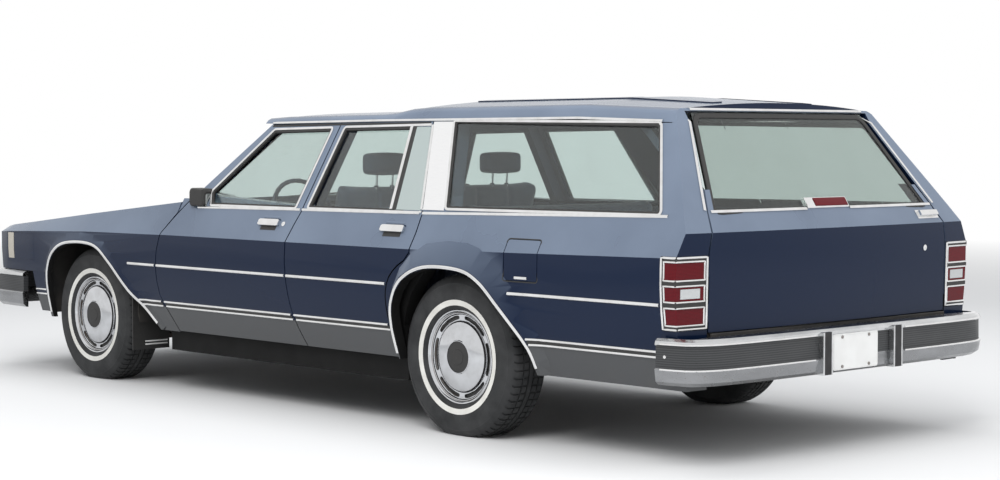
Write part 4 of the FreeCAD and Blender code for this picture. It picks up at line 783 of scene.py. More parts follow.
class WAGON_OT_mouldings(bpy.types.Operator):
    """Lay the bright mouldings on the body sides, round the arches and round the side windows."""
    bl_idname = "wagon.mouldings"
    bl_label = "Side mouldings"

    def execute(self, context):
        for side, sign in SIDES:
            surface = Surface(*side_nodes(side))
            for panel in ("fender", "door_front", "door_rear", "quarter_panel"):
                piece = Piece()
                self.runs(piece, surface, sign, panel)
                if panel == "fender":
                    self.lip(piece, surface, sign, FRONT_AXLE_X, FRONT_ARCH)
                if panel == "quarter_panel":
                    self.lip(piece, surface, sign, REAR_AXLE_X, REAR_ARCH)
                    self.frame(piece, surface, sign, QUARTER_WINDOW, 0.038, 0.014)
                    self.pillar(piece, surface, sign)
                    if side == "left":
                        self.fuel_door(piece, surface, sign)
                if panel == "door_front":
                    self.frame(piece, surface, sign, FRONT_WINDOW, 0.022, 0.008)
                if panel == "door_rear":
                    self.frame(piece, surface, sign, REAR_WINDOW, 0.022, 0.008, REAR_FRAME)
                    self.vent(piece, surface, sign)
                if panel.startswith("door"):
                    self.handle(piece, surface, sign, *HANDLES[panel])
                piece.place("trim_%s_%s" % (panel, side), panel_body(panel, side), "bright_trim")
            self.rail(surface, side, sign)
        return {"FINISHED"}

    def rail(self, surface, side, sign):
        """Add the bright rail over the doors and down the windshield pillar, with a black strip below it that
        stands for the seal and for painted shade in the gap.
        """
        piece = Piece()
        pillar, _ = surface.side(dense([(0.807, 0.990), (0.424, 1.353)]), sign)
        level = dense([(0.385, 1.3620), (-0.430, 1.3690), (-1.740, 1.3715), (-2.235, 1.3560)])
        above, _ = surface.side([(x, z + 0.008) for x, z in level], sign)
        spots = list(pillar) + [place + Vector((0, sign * 0.0046, -0.008)) for place in above]
        piece.sweep(spots, window_normal(sign), slab(0.012, -0.003, 0.009, 0.004), "bright_trim")
        # The black strip under the rail is partly the seal and partly painted shade of the gap between rail and
        # door frame.
        seam = dense([(0.385, 1.3485), (-0.145, 1.3545), (-0.800, 1.3580)])
        below, _ = surface.side([(x, z - 0.006) for x, z in seam], sign)
        spots = [place + Vector((0, -sign * 0.0035, 0.006)) for place in below]
        piece.sweep(spots, window_normal(sign), slab(0.010, -0.003, 0.0015, 0.001), "black_rubber")
        piece.place("drip_rail_" + side, "chassis", "bright_trim")

    def runs(self, piece, surface, sign, panel):
        """Add the straight mouldings of one panel, their ends in line with its seams."""
        for runs, width, height, shifts in MOULDINGS:
            for start, end in [(start, end) for name, start, end in runs if name == panel]:
                for shift in shifts:
                    line = [(x + shift * SEAM_LEAN, z + shift) for x, z in (start, end)]
                    piece.sweep(*surface.side(dense(line), sign), bead(width, height), "bright_trim")
                if runs is LOWER_RUNS:
                    between = slab(0.013, -0.002, 0.0030, 0.001)
                    piece.sweep(*surface.side(dense([start, end]), sign), between, "black_rubber")

    def lip(self, piece, surface, sign, axle_x, arch):
        """Add the bright lip round one wheel arch, outside its edge."""
        line = smooth_line([(axle_x + x, z) for x, z in arch], 6)
        moved = []
        for before, here, after in zip(line[:1] + line, line, line[1:] + line[-1:]):
            shift = 0.008 / math.dist(before, after)
            moved.append((here[0] + shift * (after[1] - before[1]), here[1] - shift * (after[0] - before[0])))
        places, _ = surface.side(moved, sign)
        piece.sweep(places, Vector((0, sign, 0)), slab(0.015, -0.003, 0.0045, 0.003), "bright_trim")

    def frame(self, piece, surface, sign, corners, radius, sharp, outer=None):
        """Add the bright frame and the black seal round one window."""
        around = widened(rounded(outer or corners, sharp), 0.007)
        self.ring(piece, surface, sign, around, TRIM_STRIP, "bright_trim")
        inner = widened(rounded(corners, (radius + sharp) / 2), -0.001)
        self.ring(piece, surface, sign, inner, slab(0.017, -0.012, 0.001), "black_rubber")

    def ring(self, piece, surface, sign, outline, section, finish):
        """Add one closed strip in the plane of the panel round a window, below the drip rail."""
        found, _ = surface.side([(x, min(z, 1.3635)) for x, z in widened(outline, 0.009)], sign)
        spots = []
        for (x, z), place in zip(outline, found):
            z = min(z, 1.3655)
            spots.append(Vector((x, place.y + sign * SIDE_LEAN * (place.z - z), z)))
        piece.sweep(spots, window_normal(sign), section, finish, closed=True)

    def vent(self, piece, surface, sign):
        """Add the fixed vent glass of the rear door behind its bright divider, as an opaque panel whose pale tone
        is painted reflection of the bright background.
        """
        rows = []
        low, high = 0.969, 1.3405
        for k in range(11):
            z = low + k / 10 * (high - low)
            front = -0.779 + k / 10 * 0.100
            back = -0.992 + 0.4556 * (z - 0.951)
            (edge,), _ = surface.side([(back, z)], sign)
            rows.append([edge + Vector(((front - back) * j / 6, 0, 0)) for j in range(7)])
        tilt = window_normal(sign)
        piece.panel(rows, [[tilt] * 7] * len(rows), 0.0012, "vent_glass_painted_reflection")
        for shift, section, finish in ((-0.004, slab(0.018, -0.004, 0.006), "bright_trim"),
                                       (-0.026, slab(0.024, -0.002, 0.003), "black_rubber")):
            piece.sweep([row[-1] + Vector((shift, 0, 0)) for row in rows], tilt, section, finish)

    def pillar(self, piece, surface, sign):
        """Add the brushed panel on the pillar behind the rear door."""
        rows, tilts = [], []
        for k in range(13):
            share = k / 12
            z = 0.972 + share * 0.390
            front = -1.0005 + share * 0.1775
            back = -1.140 + share * 0.175
            places, normals = surface.side([(front + (back - front) * j / 6, z) for j in range(7)], sign)
            rows.append(places)
            tilts.append(normals)
        piece.panel(rows, tilts, 0.0030, "brushed_panel")

    def fuel_door(self, piece, surface, sign):
        """Add the dark joint and the finger rest of the fuel door."""
        outline = rounded([(-1.812, 0.694), (-1.608, 0.694), (-1.608, 0.870), (-1.812, 0.870)], 0.016)
        joint = slab(0.0045, -0.004, 0.0006, 0.0005)
        piece.sweep(*surface.side(widened(outline, 0.0005), sign), joint, "black_rubber", closed=True)
        rest = dense([(-1.750, 0.710), (-1.676, 0.710)], 0.01)
        piece.sweep(*surface.side(rest, sign), bead(0.012, 0.003), "bright_trim")

    def handle(self, piece, surface, sign, x_low, x_high, z):
        """Add the bright door handle over its recess, a black strip below it as painted shade of the recess, and
        the lock on a front door.
        """
        (place,), (normal,) = surface.side([((x_low + x_high) / 2, z)], sign)
        half = (x_high - x_low) / 2 + 0.004
        aside = normal.cross(Vector((1, 0, 0))).normalized()
        section = slab(0.034, -0.012, 0.003, 0.004)
        rings = []
        ends = [(-half, 0.60), (0.003 - half, 0.85), (0.012 - half, 1.0)]
        for x, width in ends + [(0, 1.0)] + [(-x, width) for x, width in ends[::-1]]:
            spot = place + Vector((x, 0, 0))
            rings.append([spot + aside * u * width + normal * (v if v < 0 else v * width) for u, v in section])
        piece.rings(rings, "bright_trim")
        over = dense([(x_low + 0.010, z + 0.029), (x_high - 0.010, z + 0.029)], 0.03)
        over, tilts = surface.side(over, sign)
        cover = [spot - Vector((0, tilt.z * -sign, abs(tilt.y))) * 0.0080 for spot, tilt in zip(over, tilts)]
        piece.sweep(cover, tilts, slab(0.0150, -0.003, 0.0003, 0.0005), "door_paint")
        # The black strip below the handle is painted shade, standing in for the shadow of the recess.
        under = dense([(x_low + 0.014, z - 0.029), (x_high - 0.016, z - 0.029)], 0.03)
        piece.sweep(*surface.side(under, sign), slab(0.022, -0.002, 0.0006, 0.0005), "black_rubber")
        if x_high > 0:
            (place,), (tilt,) = surface.side([(x_low - 0.035, z - 0.008)], sign)
            piece.lock(place, tilt, 0.0125, 0.0105, 0.005)


class WAGON_OT_rear(bpy.types.Operator):
    """Dress the tailgate, the lamps and the plate."""
    bl_idname = "wagon.rear"
    bl_label = "Rear end"

    def execute(self, context):
        self.gate()
        self.corners()
        self.plate()
        self.bumper()
        return {"FINISHED"}

    def gate(self):
        """Add the gate's glass seal, its level strips, the lamp over the plate, the latch and the lock."""
        gate = Surface("tailgate", "tailgate_glass")
        piece = Piece()
        outline = widened(dense(rounded(GLASS_CORNERS, 0.05), 0.08), -0.012)
        piece.sweep(*gate.back(outline), slab(0.024, -0.004, 0.004), "black_rubber", closed=True)
        for left, right, z, section, finish in (
                (0.145, -0.130, 1.017, slab(0.052, -0.004, 0.016, 0.008), "bright_trim"),
                (0.090, -0.122, 1.017, slab(0.040, 0.010, 0.019, 0.006), "red_lens"),
                (-0.590, -0.747, 0.957, slab(0.044, -0.004, 0.004, 0.003), "bright_trim"),
                (-0.602, -0.735, 0.957, slab(0.026, 0.002, 0.020, 0.006), "bright_trim"),
                (0.730, 0.150, 0.9985, TRIM_STRIP, "bright_trim"),
                (-0.136, -0.730, 0.9985, TRIM_STRIP, "bright_trim")):
            piece.sweep(*gate.back(dense([(left, z), (right, z)], 0.04)), section, finish)
        (place,), (tilt,) = gate.back([(-0.627, 0.813)])
        piece.lock(place, tilt, 0.013, 0.010, 0.006)
        piece.place("gate_trim", "tailgate", "bright_trim")

    def corners(self):
        """Add the strips beside and over the gate, and the frames and clear panes of the tail lamps."""
        corner = Surface("quarter_panel_left", "quarter_panel_right", "roof")
        piece = Piece()
        for _, sign in SIDES:
            line = dense([(sign * (y + 0.006), z) for y, z in GATE_TRIM], 0.05)
            piece.sweep(*corner.back(line), TRIM_STRIP, "bright_trim")
        over = dense([(0.570, 1.4055), (-0.570, 1.4055)])
        piece.sweep(*corner.back(over), slab(0.012, -0.003, 0.005), "bright_trim")
        lamps = Surface("tail_lamp_lenses", "tail_lamps")
        for _, sign in SIDES:
            self.lamp_frame(piece, lamps, sign, -2.498, 0.8005, 0.5495, 0.8275, bead(0.010, 0.005, 0.004))
            for low, high in ((0.564, 0.633), (0.656, 0.718), (0.739, 0.812)):
                self.lamp_frame(piece, lamps, sign, -2.511, 0.8125, low, high, bead(0.008, 0.004, 0.006))
            pane = [[(sign * (0.8365 + 0.0132 * j), 0.668 + 0.0127 * k) for j in range(9)] for k in range(4)]
            piece.panel(*zip(*(lamps.back(row) for row in pane)), 0.0015, "clear_lens")
        piece.place("rear_trim", "chassis", "bright_trim")

    def lamp_frame(self, piece, surface, sign, x, y, low, high, section):
        """Add a bright frame round part of a tail lamp, over the body's corner."""
        quarter = math.pi / 2
        across = [quarter * k / 20 for k in range(21)]
        up = [low + (high - low) * k / 8 for k in range(1, 8)]
        spots = [(a, low) for a in across] + [(quarter, z) for z in up]
        spots += [(a, high) for a in across[::-1]] + [(0.0, z) for z in up[::-1]]
        piece.sweep(*surface.wrap((x, y), sign, spots), section, "bright_trim", closed=True)

    def bumper(self):
        """Add bright edges, studs and the dark valance of the rear bumper."""
        face = Surface("rear_bumper")
        middle = (-2.0, 0.0)
        piece = Piece()
        for _, sign in SIDES:
            for z in (0.4970, 0.3985):
                spots = [(math.radians(22.5 + 40.0 * k / 30), z) for k in range(31)]
                places, normals = face.wrap(middle, sign, spots)
                level = [Vector((normal.x, normal.y, 0)).normalized() for normal in normals]
                piece.sweep(places, level, bead(0.008, 0.003, 0.003), "bright_trim")
            (place,), (tilt,) = face.wrap(middle, sign, [(math.radians(61.5), 0.4475)])
            piece.turn([(0, -0.002), (0.007, -0.002), (0.0065, 0.003), (0.003, 0.0045), (0, 0.005)], place, tilt,
                       "bright_trim", 20)
        piece.block((-2.592, -0.780, 0.420), (-2.580, 0.780, 0.5265), "underbody", 0.003, 1)
        piece.place("rear_bumper_trim", "chassis", "bright_trim")

    def plate(self):
        """Add the blank plate with its raised edge, and the bolts in the holes of its mount."""
        mount = next(m for m in frame["record"]["mounts"] if m["name"] == "rear_plate_bolts")
        x, y, z = mount["pos_m"]
        half_width, half_height, thickness = 0.150, 0.074, 0.004
        piece = Piece()
        face = x - thickness
        corners = [(y + a * half_width, z + b * half_height) for a, b in ((-1, -1), (1, -1), (1, 1), (-1, 1))]
        outline = rounded(corners, 0.012)
        piece.rings([[Vector((depth, a, b)) for a, b in outline] for depth in (x, face)], "plate_white")
        edge = [Vector((face, a, b)) for a, b in widened(outline, -0.007)]
        piece.sweep(edge, Vector((-1, 0, 0)), bead(0.003, 0.001, 0.001), "plate_white", closed=True)
        across, up = (mount["dims"][key] / 2000 for key in ("spacing_x_mm", "spacing_y_mm"))
        for a in (across, -across):
            for b in (up, -up):
                piece.turn([(0, 0), (0.007, 0), (0.0065, 0.003), (0.004, 0.0045), (0, 0.0048)],
                           (face, y + a, z + b), (-1, 0, 0), "dull_steel", 16)
        piece.place("rear_plate", "chassis", "bright_trim")


class WAGON_OT_front(bpy.types.Operator):
    """Dress the nose, the windshield and the mirrors."""
    bl_idname = "wagon.front"
    bl_label = "Front end"

    def execute(self, context):
        self.headlamps()
        self.lower_fenders()
        self.windshield()
        self.mirrors()
        return {"FINISHED"}

    def headlamps(self):
        """Add the frame and the crowned lens of each headlamp."""
        piece = Piece()
        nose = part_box("header_panel")[1].x
        z_low, z_high = 0.590, 0.750
        for _, sign in SIDES:
            for inner, outer in ((0.460, 0.643), (0.657, 0.840)):
                low, high = sorted((sign * inner, sign * outer))
                outline = rounded([(low, z_low), (high, z_low), (high, z_high), (low, z_high)], 0.012)
                edge = [Vector((nose - 0.003, y, z)) for y, z in widened(outline, -0.006)]
                piece.sweep(edge, Vector((1, 0, 0)), slab(0.014, -0.006, 0.006), "bright_trim", closed=True)
                lens = [Vector((nose - 0.004, y, z)) for y, z in widened(outline, -0.016)]
                middle = Vector((nose - 0.004, (low + high) / 2, (z_low + z_high) / 2))
                crown = ((1.0, -0.004), (1.0, 0.002), (0.85, 0.006), (0.5, 0.010), (0.02, 0.012))
                piece.rings([[middle + (corner - middle) * share + Vector((bulge, 0, 0)) for corner in lens]
                             for share, bulge in crown], "clear_lens")
        piece.place("headlamp_trim", "chassis", "headlamp_lens")

    def windshield(self):
        """Add the seal and bright strip round the windshield, and the wipers."""
        glass = Surface("fixed_glass")
        piece = Piece()
        corners = [(0.780, 0.944), (-0.780, 0.944), (-0.600, 1.356), (0.600, 1.356)]
        edge = []
        for start, end, count in zip(corners, corners[1:] + corners[:1], (16, 8, 12, 8)):
            edge += [tuple(a + (b - a) * k / count for a, b in zip(start, end)) for k in range(count)]
        piece.sweep(*glass.ahead(edge), slab(0.026, -0.003, 0.004), "black_rubber", closed=True)
        piece.sweep(*glass.ahead(edge), bead(0.010, 0.009, -0.003), "bright_trim", closed=True)
        up = Vector((0.8, 0, 0.6))
        shares = (0, 0.25, 0.5, 0.75, 1.0)
        for pivot, tip, reach, length in ((0.30, -0.32, 0.30, 0.44), (-0.38, -0.74, 0.40, 0.38)):
            (foot,), _ = glass.ahead([(pivot, 0.958)])
            along = [(pivot + (tip - pivot) * share * 0.8, 0.962 + 0.020 * share) for share in shares[1:]]
            arm = [foot + Vector((0.050, 0, -0.012))]
            arm += [spot + tilt * 0.020 for spot, tilt in zip(*glass.ahead(along))]
            piece.sweep(arm, up, slab(0.009, -0.003, 0.003, 0.002), "black_rubber")
            along = [(tip + reach - length * share, 0.975) for share in shares]
            blade = [spot + tilt * 0.010 for spot, tilt in zip(*glass.ahead(along))]
            piece.sweep(blade, up, slab(0.008, -0.008, 0.004, 0.002), "black_rubber")
        piece.place("windshield_trim", "chassis", "bright_trim")

    def mirrors(self):
        """Add the glass on the rear face of each door mirror."""
        middle = Vector((0, 0.856, 0.960))
        for side, sign in SIDES:
            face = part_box("mirror_" + side)[0].x + 0.002
            outline = rounded([(0.820, 0.908), (0.892, 0.908), (0.892, 1.012), (0.820, 1.012)], 0.014)
            rings = []
            for share, rise in ((1.0, 0.0), (1.0, 0.003), (0.97, 0.004)):
                spots = [middle + (Vector((0, y, z)) - middle) * share for y, z in outline]
                rings.append([Vector((face - rise, sign * spot.y, spot.z)) for spot in spots])
            piece = Piece()
            piece.rings(rings, "mirror_glass")
            piece.place("mirror_glass_" + side, "door_front_" + side, "headlamp_lens")

    def lower_fenders(self):
        """Add the lower ends of the fenders ahead of the front wheels, and the strips on the mud flaps."""
        back, low, high = 2.098, 0.336, 0.555

        def outside(x, z):
            """Return the place on the sheet's outside; it curves in towards its lower edge."""
            return Vector((x, sign * (0.9430 - (high - z) * (0.13 + 0.35 * (high - z))), z))

        for side, sign in SIDES:
            piece = Piece()
            rows = [[outside(back + (0.100 + 0.020 * k / 8) * j / 4, low + k / 8 * (high - low)) for j in range(5)]
                    for k in range(9)]
            tilt = Vector((0, sign, -0.16)).normalized()
            piece.panel(rows, [[tilt] * 5] * 9, 0.0010, "body_paint")
            for z in (0.458, 0.434):
                line = [outside(back + 0.027 * j, z) for j in range(5)]
                piece.sweep(line, tilt, bead(0.011, 0.007), "bright_trim")
            y_low, y_high = sorted((sign * 0.712, sign * 0.850))
            for z in (0.208, 0.224):
                piece.block((1.2495, y_low, z), (1.2530, y_high, z + 0.007), "plate_white", 0.001, 1)
            piece.place("lower_fender_" + side, "chassis", "blue_paint")


class WAGON_OT_wheels(bpy.types.Operator):
    """Build the tyres with their white band and the slotted wheel covers."""
    bl_idname = "wagon.wheels"
    bl_label = "Wheels"

    def execute(self, context):
        cover = self.cover()
        for end, axle_x in (("front", FRONT_AXLE_X), ("rear", REAR_AXLE_X)):
            for side, sign in SIDES:
                corner = "%s_%s" % (end, side)
                low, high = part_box("tyre_" + corner)
                centre = Vector((axle_x, (low.y + high.y) / 2, AXLE_Z))
                turn = Matrix.Translation(centre) @ Matrix.Rotation(0 if sign > 0 else math.pi, 4, "Z")
                self.tyre(turn).place("tyre_form_" + corner, "wheel_" + corner, "tyre", ["tyre_" + corner], 28)
                piece = Piece()
                for part, finish in cover:
                    copy = part.copy()
                    copy.transform(turn)
                    piece.absorb(copy, finish)
                    copy.free()
                piece.place("wheel_cover_" + corner, "wheel_" + corner, "wheel_metal", ["rim_" + corner], 30)
        for part, _ in cover:
            part.free()
        return {"FINISHED"}

    def tyre(self, turn):
        """Return a tyre with ribs and leaning tread blocks, pressed flat on the ground."""
        pressed = 0.004
        wall = [(0.192, 0.082), (0.206, 0.088), (0.211, 0.096), (0.2235, 0.1035), (0.2245, 0.1052),
                (0.2490, 0.1082), (0.2500, 0.1068), (0.276, 0.1090), (0.300, 0.1075), (0.318, 0.1045),
                (0.320, 0.1055), (0.330, 0.1010), (0.344, 0.0920), (0.3535, 0.0800)]
        white = 4  # the white band starts at this point of the wall
        tread = [(0.3575, 0.0680), (0.3575, 0.0500), (0.3500, 0.0490), (0.3500, 0.0430), (0.3585, 0.0420),
                 (0.3590, 0.0180), (0.3510, 0.0170), (0.3510, 0.0110), (0.3590, 0.0100)]
        half = wall + tread
        profile = half + [(r, -y) for r, y in half[::-1]]
        finish = ["tyre_rubber"] * len(profile)
        finish[white] = "white_band"
        blocks = 64
        piece = Piece()
        rings = []
        for index in range(blocks):
            for share, cut in ((0.0, 0), (0.74, 0), (0.77, 1), (0.97, 1)):
                angle = 2 * math.pi * (index + share) / blocks
                ring = []
                for r, y in profile:
                    lean = 0.012 * (abs(y) / 0.07) if abs(y) < 0.085 and r > 0.34 else 0.0
                    radius = r - (0.006 if cut and r > 0.353 and abs(y) > 0.017 else 0.0)
                    spot = turn @ Vector((radius * math.cos(angle + lean), y, radius * math.sin(angle + lean)))
                    if spot.z < pressed:
                        spot.z = max(0.0, pressed - (pressed - spot.z) * 0.2)
                    ring.append(spot)
                rings.append(ring)
        piece.rings(rings, finish, closed=True)
        return piece

    def cover(self):
        """Return the parts of a wheel cover as (bmesh, finish) pairs, its outside towards +Y."""
        front = [(0.2090, 0.0820), (0.2080, 0.0900), (0.2030, 0.0935), (0.1985, 0.0915), (0.1950, 0.0850),
                 (0.1910, 0.0815), (0.1850, 0.0800), (0.1825, 0.0765), (0.1600, 0.0745), (0.1575, 0.0745),
                 (0.1545, 0.0800), (0.1500, 0.0845), (0.1440, 0.0865), (0.1180, 0.0930), (0.0900, 0.0970),
                 (0.0740, 0.0985), (0.0715, 0.1015), (0.0690, 0.1015), (0.0680, 0.0990)]
        back = [(r, y - 0.004) for r, y in front[::-1]]
        plate = self.turned(front + back, 120)
        slot_radius, half_length, half_width = 0.1710, 0.073, 0.0095
        count, points = 6, 28
        slots = bmesh.new()
        for index in range(count):
            middle = 2 * math.pi * index / count
            ring = []
            for k in range(points):
                angle = 2 * math.pi * k / points
                wide = half_length * math.copysign(abs(math.cos(angle)) ** 0.35, math.cos(angle))
                deep = half_width * math.copysign(abs(math.sin(angle)) ** 0.45, math.sin(angle))
                ring.append((slot_radius + deep, middle + wide / slot_radius))
            rows = [[slots.verts.new((r * math.cos(a), y, r * math.sin(a))) for r, a in ring] for y in (0.05, 0.10)]
            for k in range(points):
                near = (k + 1) % points
                slots.faces.new((rows[0][k], rows[0][near], rows[1][near], rows[1][k]))
            slots.faces.new(rows[0])
            slots.faces.new(rows[1][::-1])
        bmesh.ops.recalc_face_normals(slots, faces=slots.faces[:])
        holed = self.carved(plate, slots)
        hub = self.turned([(0.0695, 0.090), (0.0680, 0.0980), (0.0600, 0.1000), (0.0350, 0.1010), (0.0330, 0.1030),
                           (FINE, 0.1040), (FINE, 0.088)], 72)
        dark = self.turned([(0.191, 0.040), (0.191, 0.066), (0.100, 0.066), (0.100, 0.040)], 64)
        barrel = self.turned([(0.192, 0.084), (0.192, -0.086), (0.180, -0.086), (0.176, 0.030), (0.060, 0.012),
                              (0.021, 0.000), (0.021, 0.056), (0.100, 0.060), (0.180, 0.066)], 64)
        return [(holed, "cover_metal"), (hub, "black_rubber"), (dark, "black_rubber"), (barrel, "dull_steel")]

    def turned(self, profile, steps):
        """Return a bmesh turned about the Y axis from (radius, y) points."""
        shape = bmesh.new()
        rings = []
        for k in range(steps):
            angle = 2 * math.pi * k / steps
            rings.append([shape.verts.new((r * math.cos(angle), y, r * math.sin(angle))) for r, y in profile])
        for here, ahead in zip(rings, rings[1:] + rings[:1]):
            for k in range(len(profile)):
                near = (k + 1) % len(profile)
                shape.faces.new((here[k], here[near], ahead[near], ahead[k]))
        bmesh.ops.recalc_face_normals(shape, faces=shape.faces[:])
        return shape

    def carved(self, shape, cutter):
        """Return a bmesh with the cutter's space taken out of the shape."""
        made = []
        for name, source in (("plate", shape), ("slots", cutter)):
            mesh = bpy.data.meshes.new(name)
            source.to_mesh(mesh)
            source.free()
            made.append(bpy.data.objects.new(name, mesh))
            bpy.context.scene.collection.objects.link(made[-1])
        cut = made[0].modifiers.new("cut", "BOOLEAN")
        cut.operation = "DIFFERENCE"
        cut.object = made[1]
        cut.solver = "EXACT"
        bpy.context.view_layer.update()
        solid = made[0].evaluated_get(bpy.context.evaluated_depsgraph_get()).to_mesh()
        result = bmesh.new()
        result.from_mesh(solid)
        for thing in made:
            mesh = thing.data
            bpy.data.objects.remove(thing)
            bpy.data.meshes.remove(mesh)
        return result


class WAGON_OT_cabin(bpy.types.Operator):
    """Furnish the cabin: cushions, dashboard details, steering wheel and door cards."""
    bl_idname = "wagon.cabin"
    bl_label = "Cabin"

    def execute(self, context):
        first = None
        for name, low, high, tilt, channels in self.cushions():
            piece = self.cushion(name, low, high, tilt, channels)
            first = first or piece
        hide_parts("seats")
        self.posts()
        self.dash()
        self.wheel()
        for side, sign in SIDES:
            for panel, x_low, x_high in (("door_front", 0.05, 0.60), ("door_rear", -0.75, -0.25)):
                self.card(panel, side, sign, x_low, x_high)
        return {"FINISHED"}

    def cushions(self):
        """Return name, lower and upper corner, tilt and channels of each cushion."""
        lean = Matrix.Translation((-0.020, 0, 0.560)) @ Matrix.Rotation(-0.27, 4, "Y")
        rear = Matrix.Translation((-0.905, 0, 0.610)) @ Matrix.Rotation(-0.26, 4, "Y")
        level = Matrix.Identity(4)
        return [
            ("front_bench", (-0.010, -0.660, 0.400), (0.465, 0.660, 0.600), level, 6),
            ("front_back", (-0.020, -0.660, 0.030), (0.070, 0.660, 0.520), lean, 6),
            ("head_rest_left", (-0.188, 0.262, 1.112), (-0.114, 0.508, 1.214), level, 0),
            ("head_rest_right", (-0.188, -0.508, 1.112), (-0.114, -0.262, 1.214), level, 0),
            ("rear_bench", (-0.800, -0.605, 0.400), (-0.425, 0.605, 0.562), level, 6),
            ("rear_back", (-0.045, -0.605, 0.000), (0.045, 0.605, 0.395), rear, 6),
        ]

    def cushion(self, name, low, high, tilt, channels):
        """Return a stuffed cushion, swollen by cloth simulation, with sewn channels."""
        low, high = Vector(low), Vector(high)
        piece = Piece()
        piece.block(low, high, "seat_cloth", min(high - low) * 0.28, 4)
        made = piece.place(name, "chassis", "seat_cloth", angle=180.0)
        remesh = made.modifiers.new("skin", "REMESH")
        remesh.mode = "VOXEL"
        remesh.voxel_size = 0.008 if channels == 0 else 0.015
        self.apply(made)
        self.swell(made)
        spots = self.spots(made)
        if channels:
            width = (high.y - low.y) / channels
            share = np.abs(((spots[:, 1] - low.y) / width + 0.5) % 1.0 - 0.5) * width
            inside = (spots[:, 1] > low.y + width / 2) & (spots[:, 1] < high.y - width / 2)
            depth = reach = 0.010
            dent = depth * np.exp(-(share / reach) ** 2) * inside
            thin = 2 if high.z - low.z < high.x - low.x else 0
            middle = (low[thin] + high[thin]) / 2
            spots[:, thin] -= np.sign(spots[:, thin] - middle) * dent
        made.data.vertices.foreach_set("co", spots.ravel())
        made.data.transform(tilt)
        finer = made.modifiers.new("finer", "SUBSURF")
        finer.levels = finer.render_levels = 1
        self.apply(made)
        made.data.shade_smooth()
        return made

    def apply(self, made):
        """Put the result of an object's modifiers into its mesh."""
        bpy.context.view_layer.update()
        mesh = bpy.data.meshes.new_from_object(made.evaluated_get(bpy.context.evaluated_depsgraph_get()))
        mesh.materials.clear()
        mesh.materials.append(finish_named("seat_cloth"))
        made.modifiers.clear()
        made.data = mesh

    def swell(self, made):
        """Blow a cushion up a little by cloth simulation, no point moving more than the cap."""
        cap, steps = 0.022, 20
        start = self.spots(made)
        cloth = made.modifiers.new("cloth", "CLOTH")
        cloth.settings.use_pressure = True
        cloth.settings.uniform_pressure_force = 4.0
        cloth.settings.effector_weights.gravity = 0.0
        scene = bpy.context.scene
        for step in range(1, steps + 1):
            scene.frame_set(step)
        self.apply(made)
        scene.frame_set(1)
        move = self.spots(made) - start
        length = np.linalg.norm(move, axis=1, keepdims=True)
        move *= np.minimum(1.0, cap / np.maximum(length, 1e-9))
        made.data.vertices.foreach_set("co", (start + move).ravel())

    def spots(self, made):
        """Return the places of an object's vertices as rows of an array."""
        places = np.empty(len(made.data.vertices) * 3)
        made.data.vertices.foreach_get("co", places)
        return places.reshape(-1, 3)

    def posts(self):
        """Add the bright posts of the head rests."""
        piece = Piece()
        up = (-0.06, 0, 1)
        for y in (0.335, 0.435, -0.335, -0.435):
            post = [(0, 0.0), (0.006, 0.0), (0.006, 0.140), (0, 0.140)]
            collar = [(0, 0.0), (0.012, 0.0), (0.011, 0.006), (0, 0.007)]
            piece.turn(post, (-0.142, y, 1.010), up, "bright_trim", 16)
            piece.turn(collar, (-0.144, y, 1.052), up, "cabin_plastic", 20)
        piece.place("head_rest_posts", "chassis", "bright_trim")

    def dash(self):
        """Add the instrument hood, dials, vents, radio and glove box to the dashboard."""
        piece = Piece()
        back = (-1, 0, 0)
        piece.block((0.640, 0.190, 0.830), (0.700, 0.600, 0.925), "cabin_plastic", 0.012, 3)
        for y, radius in ((0.300, 0.036), (0.390, 0.040), (0.480, 0.036)):
            dial = (0.640, y, 0.878)
            outer = radius + 0.006
            piece.turn([(0, 0.001), (radius, 0.001), (radius + 0.001, 0.006), (outer, 0.006), (outer, -0.004),
                        (0, -0.004)], dial, back, "bright_trim", 40)
            piece.turn([(0, 0.003), (radius - 0.002, 0.003), (radius - 0.002, 0.0), (0, 0.0)], dial, back,
                       "black_rubber", 40)
            tip = 0.878 + radius * 0.8
            piece.block((0.6355, y - 0.001, 0.878), (0.6365, y + 0.001, tip), "red_lens", 0.0003, 1)
        for y in (0.66, 0.10, -0.10, -0.66):
            for k in range(5):
                z = 0.835 + 0.010 * k
                piece.block((0.640, y - 0.055, z), (0.668, y + 0.055, z + 0.005), "black_rubber", 0.001, 1)
        piece.block((0.652, -0.100, 0.720), (0.690, 0.100, 0.800), "bright_trim", 0.006, 2)
        piece.block((0.648, -0.092, 0.727), (0.660, 0.092, 0.793), "black_rubber", 0.004, 2)
        piece.block((0.650, -0.600, 0.700), (0.700, -0.230, 0.810), "cabin_plastic", 0.010, 2)
        knob = [(0, 0.012), (0.008, 0.012), (0.009, 0.0), (0, 0.0)]
        piece.turn(knob, (0.652, -0.415, 0.790), back, "bright_trim", 20)
        piece.place("dash_details", "chassis", "dash_plastic")

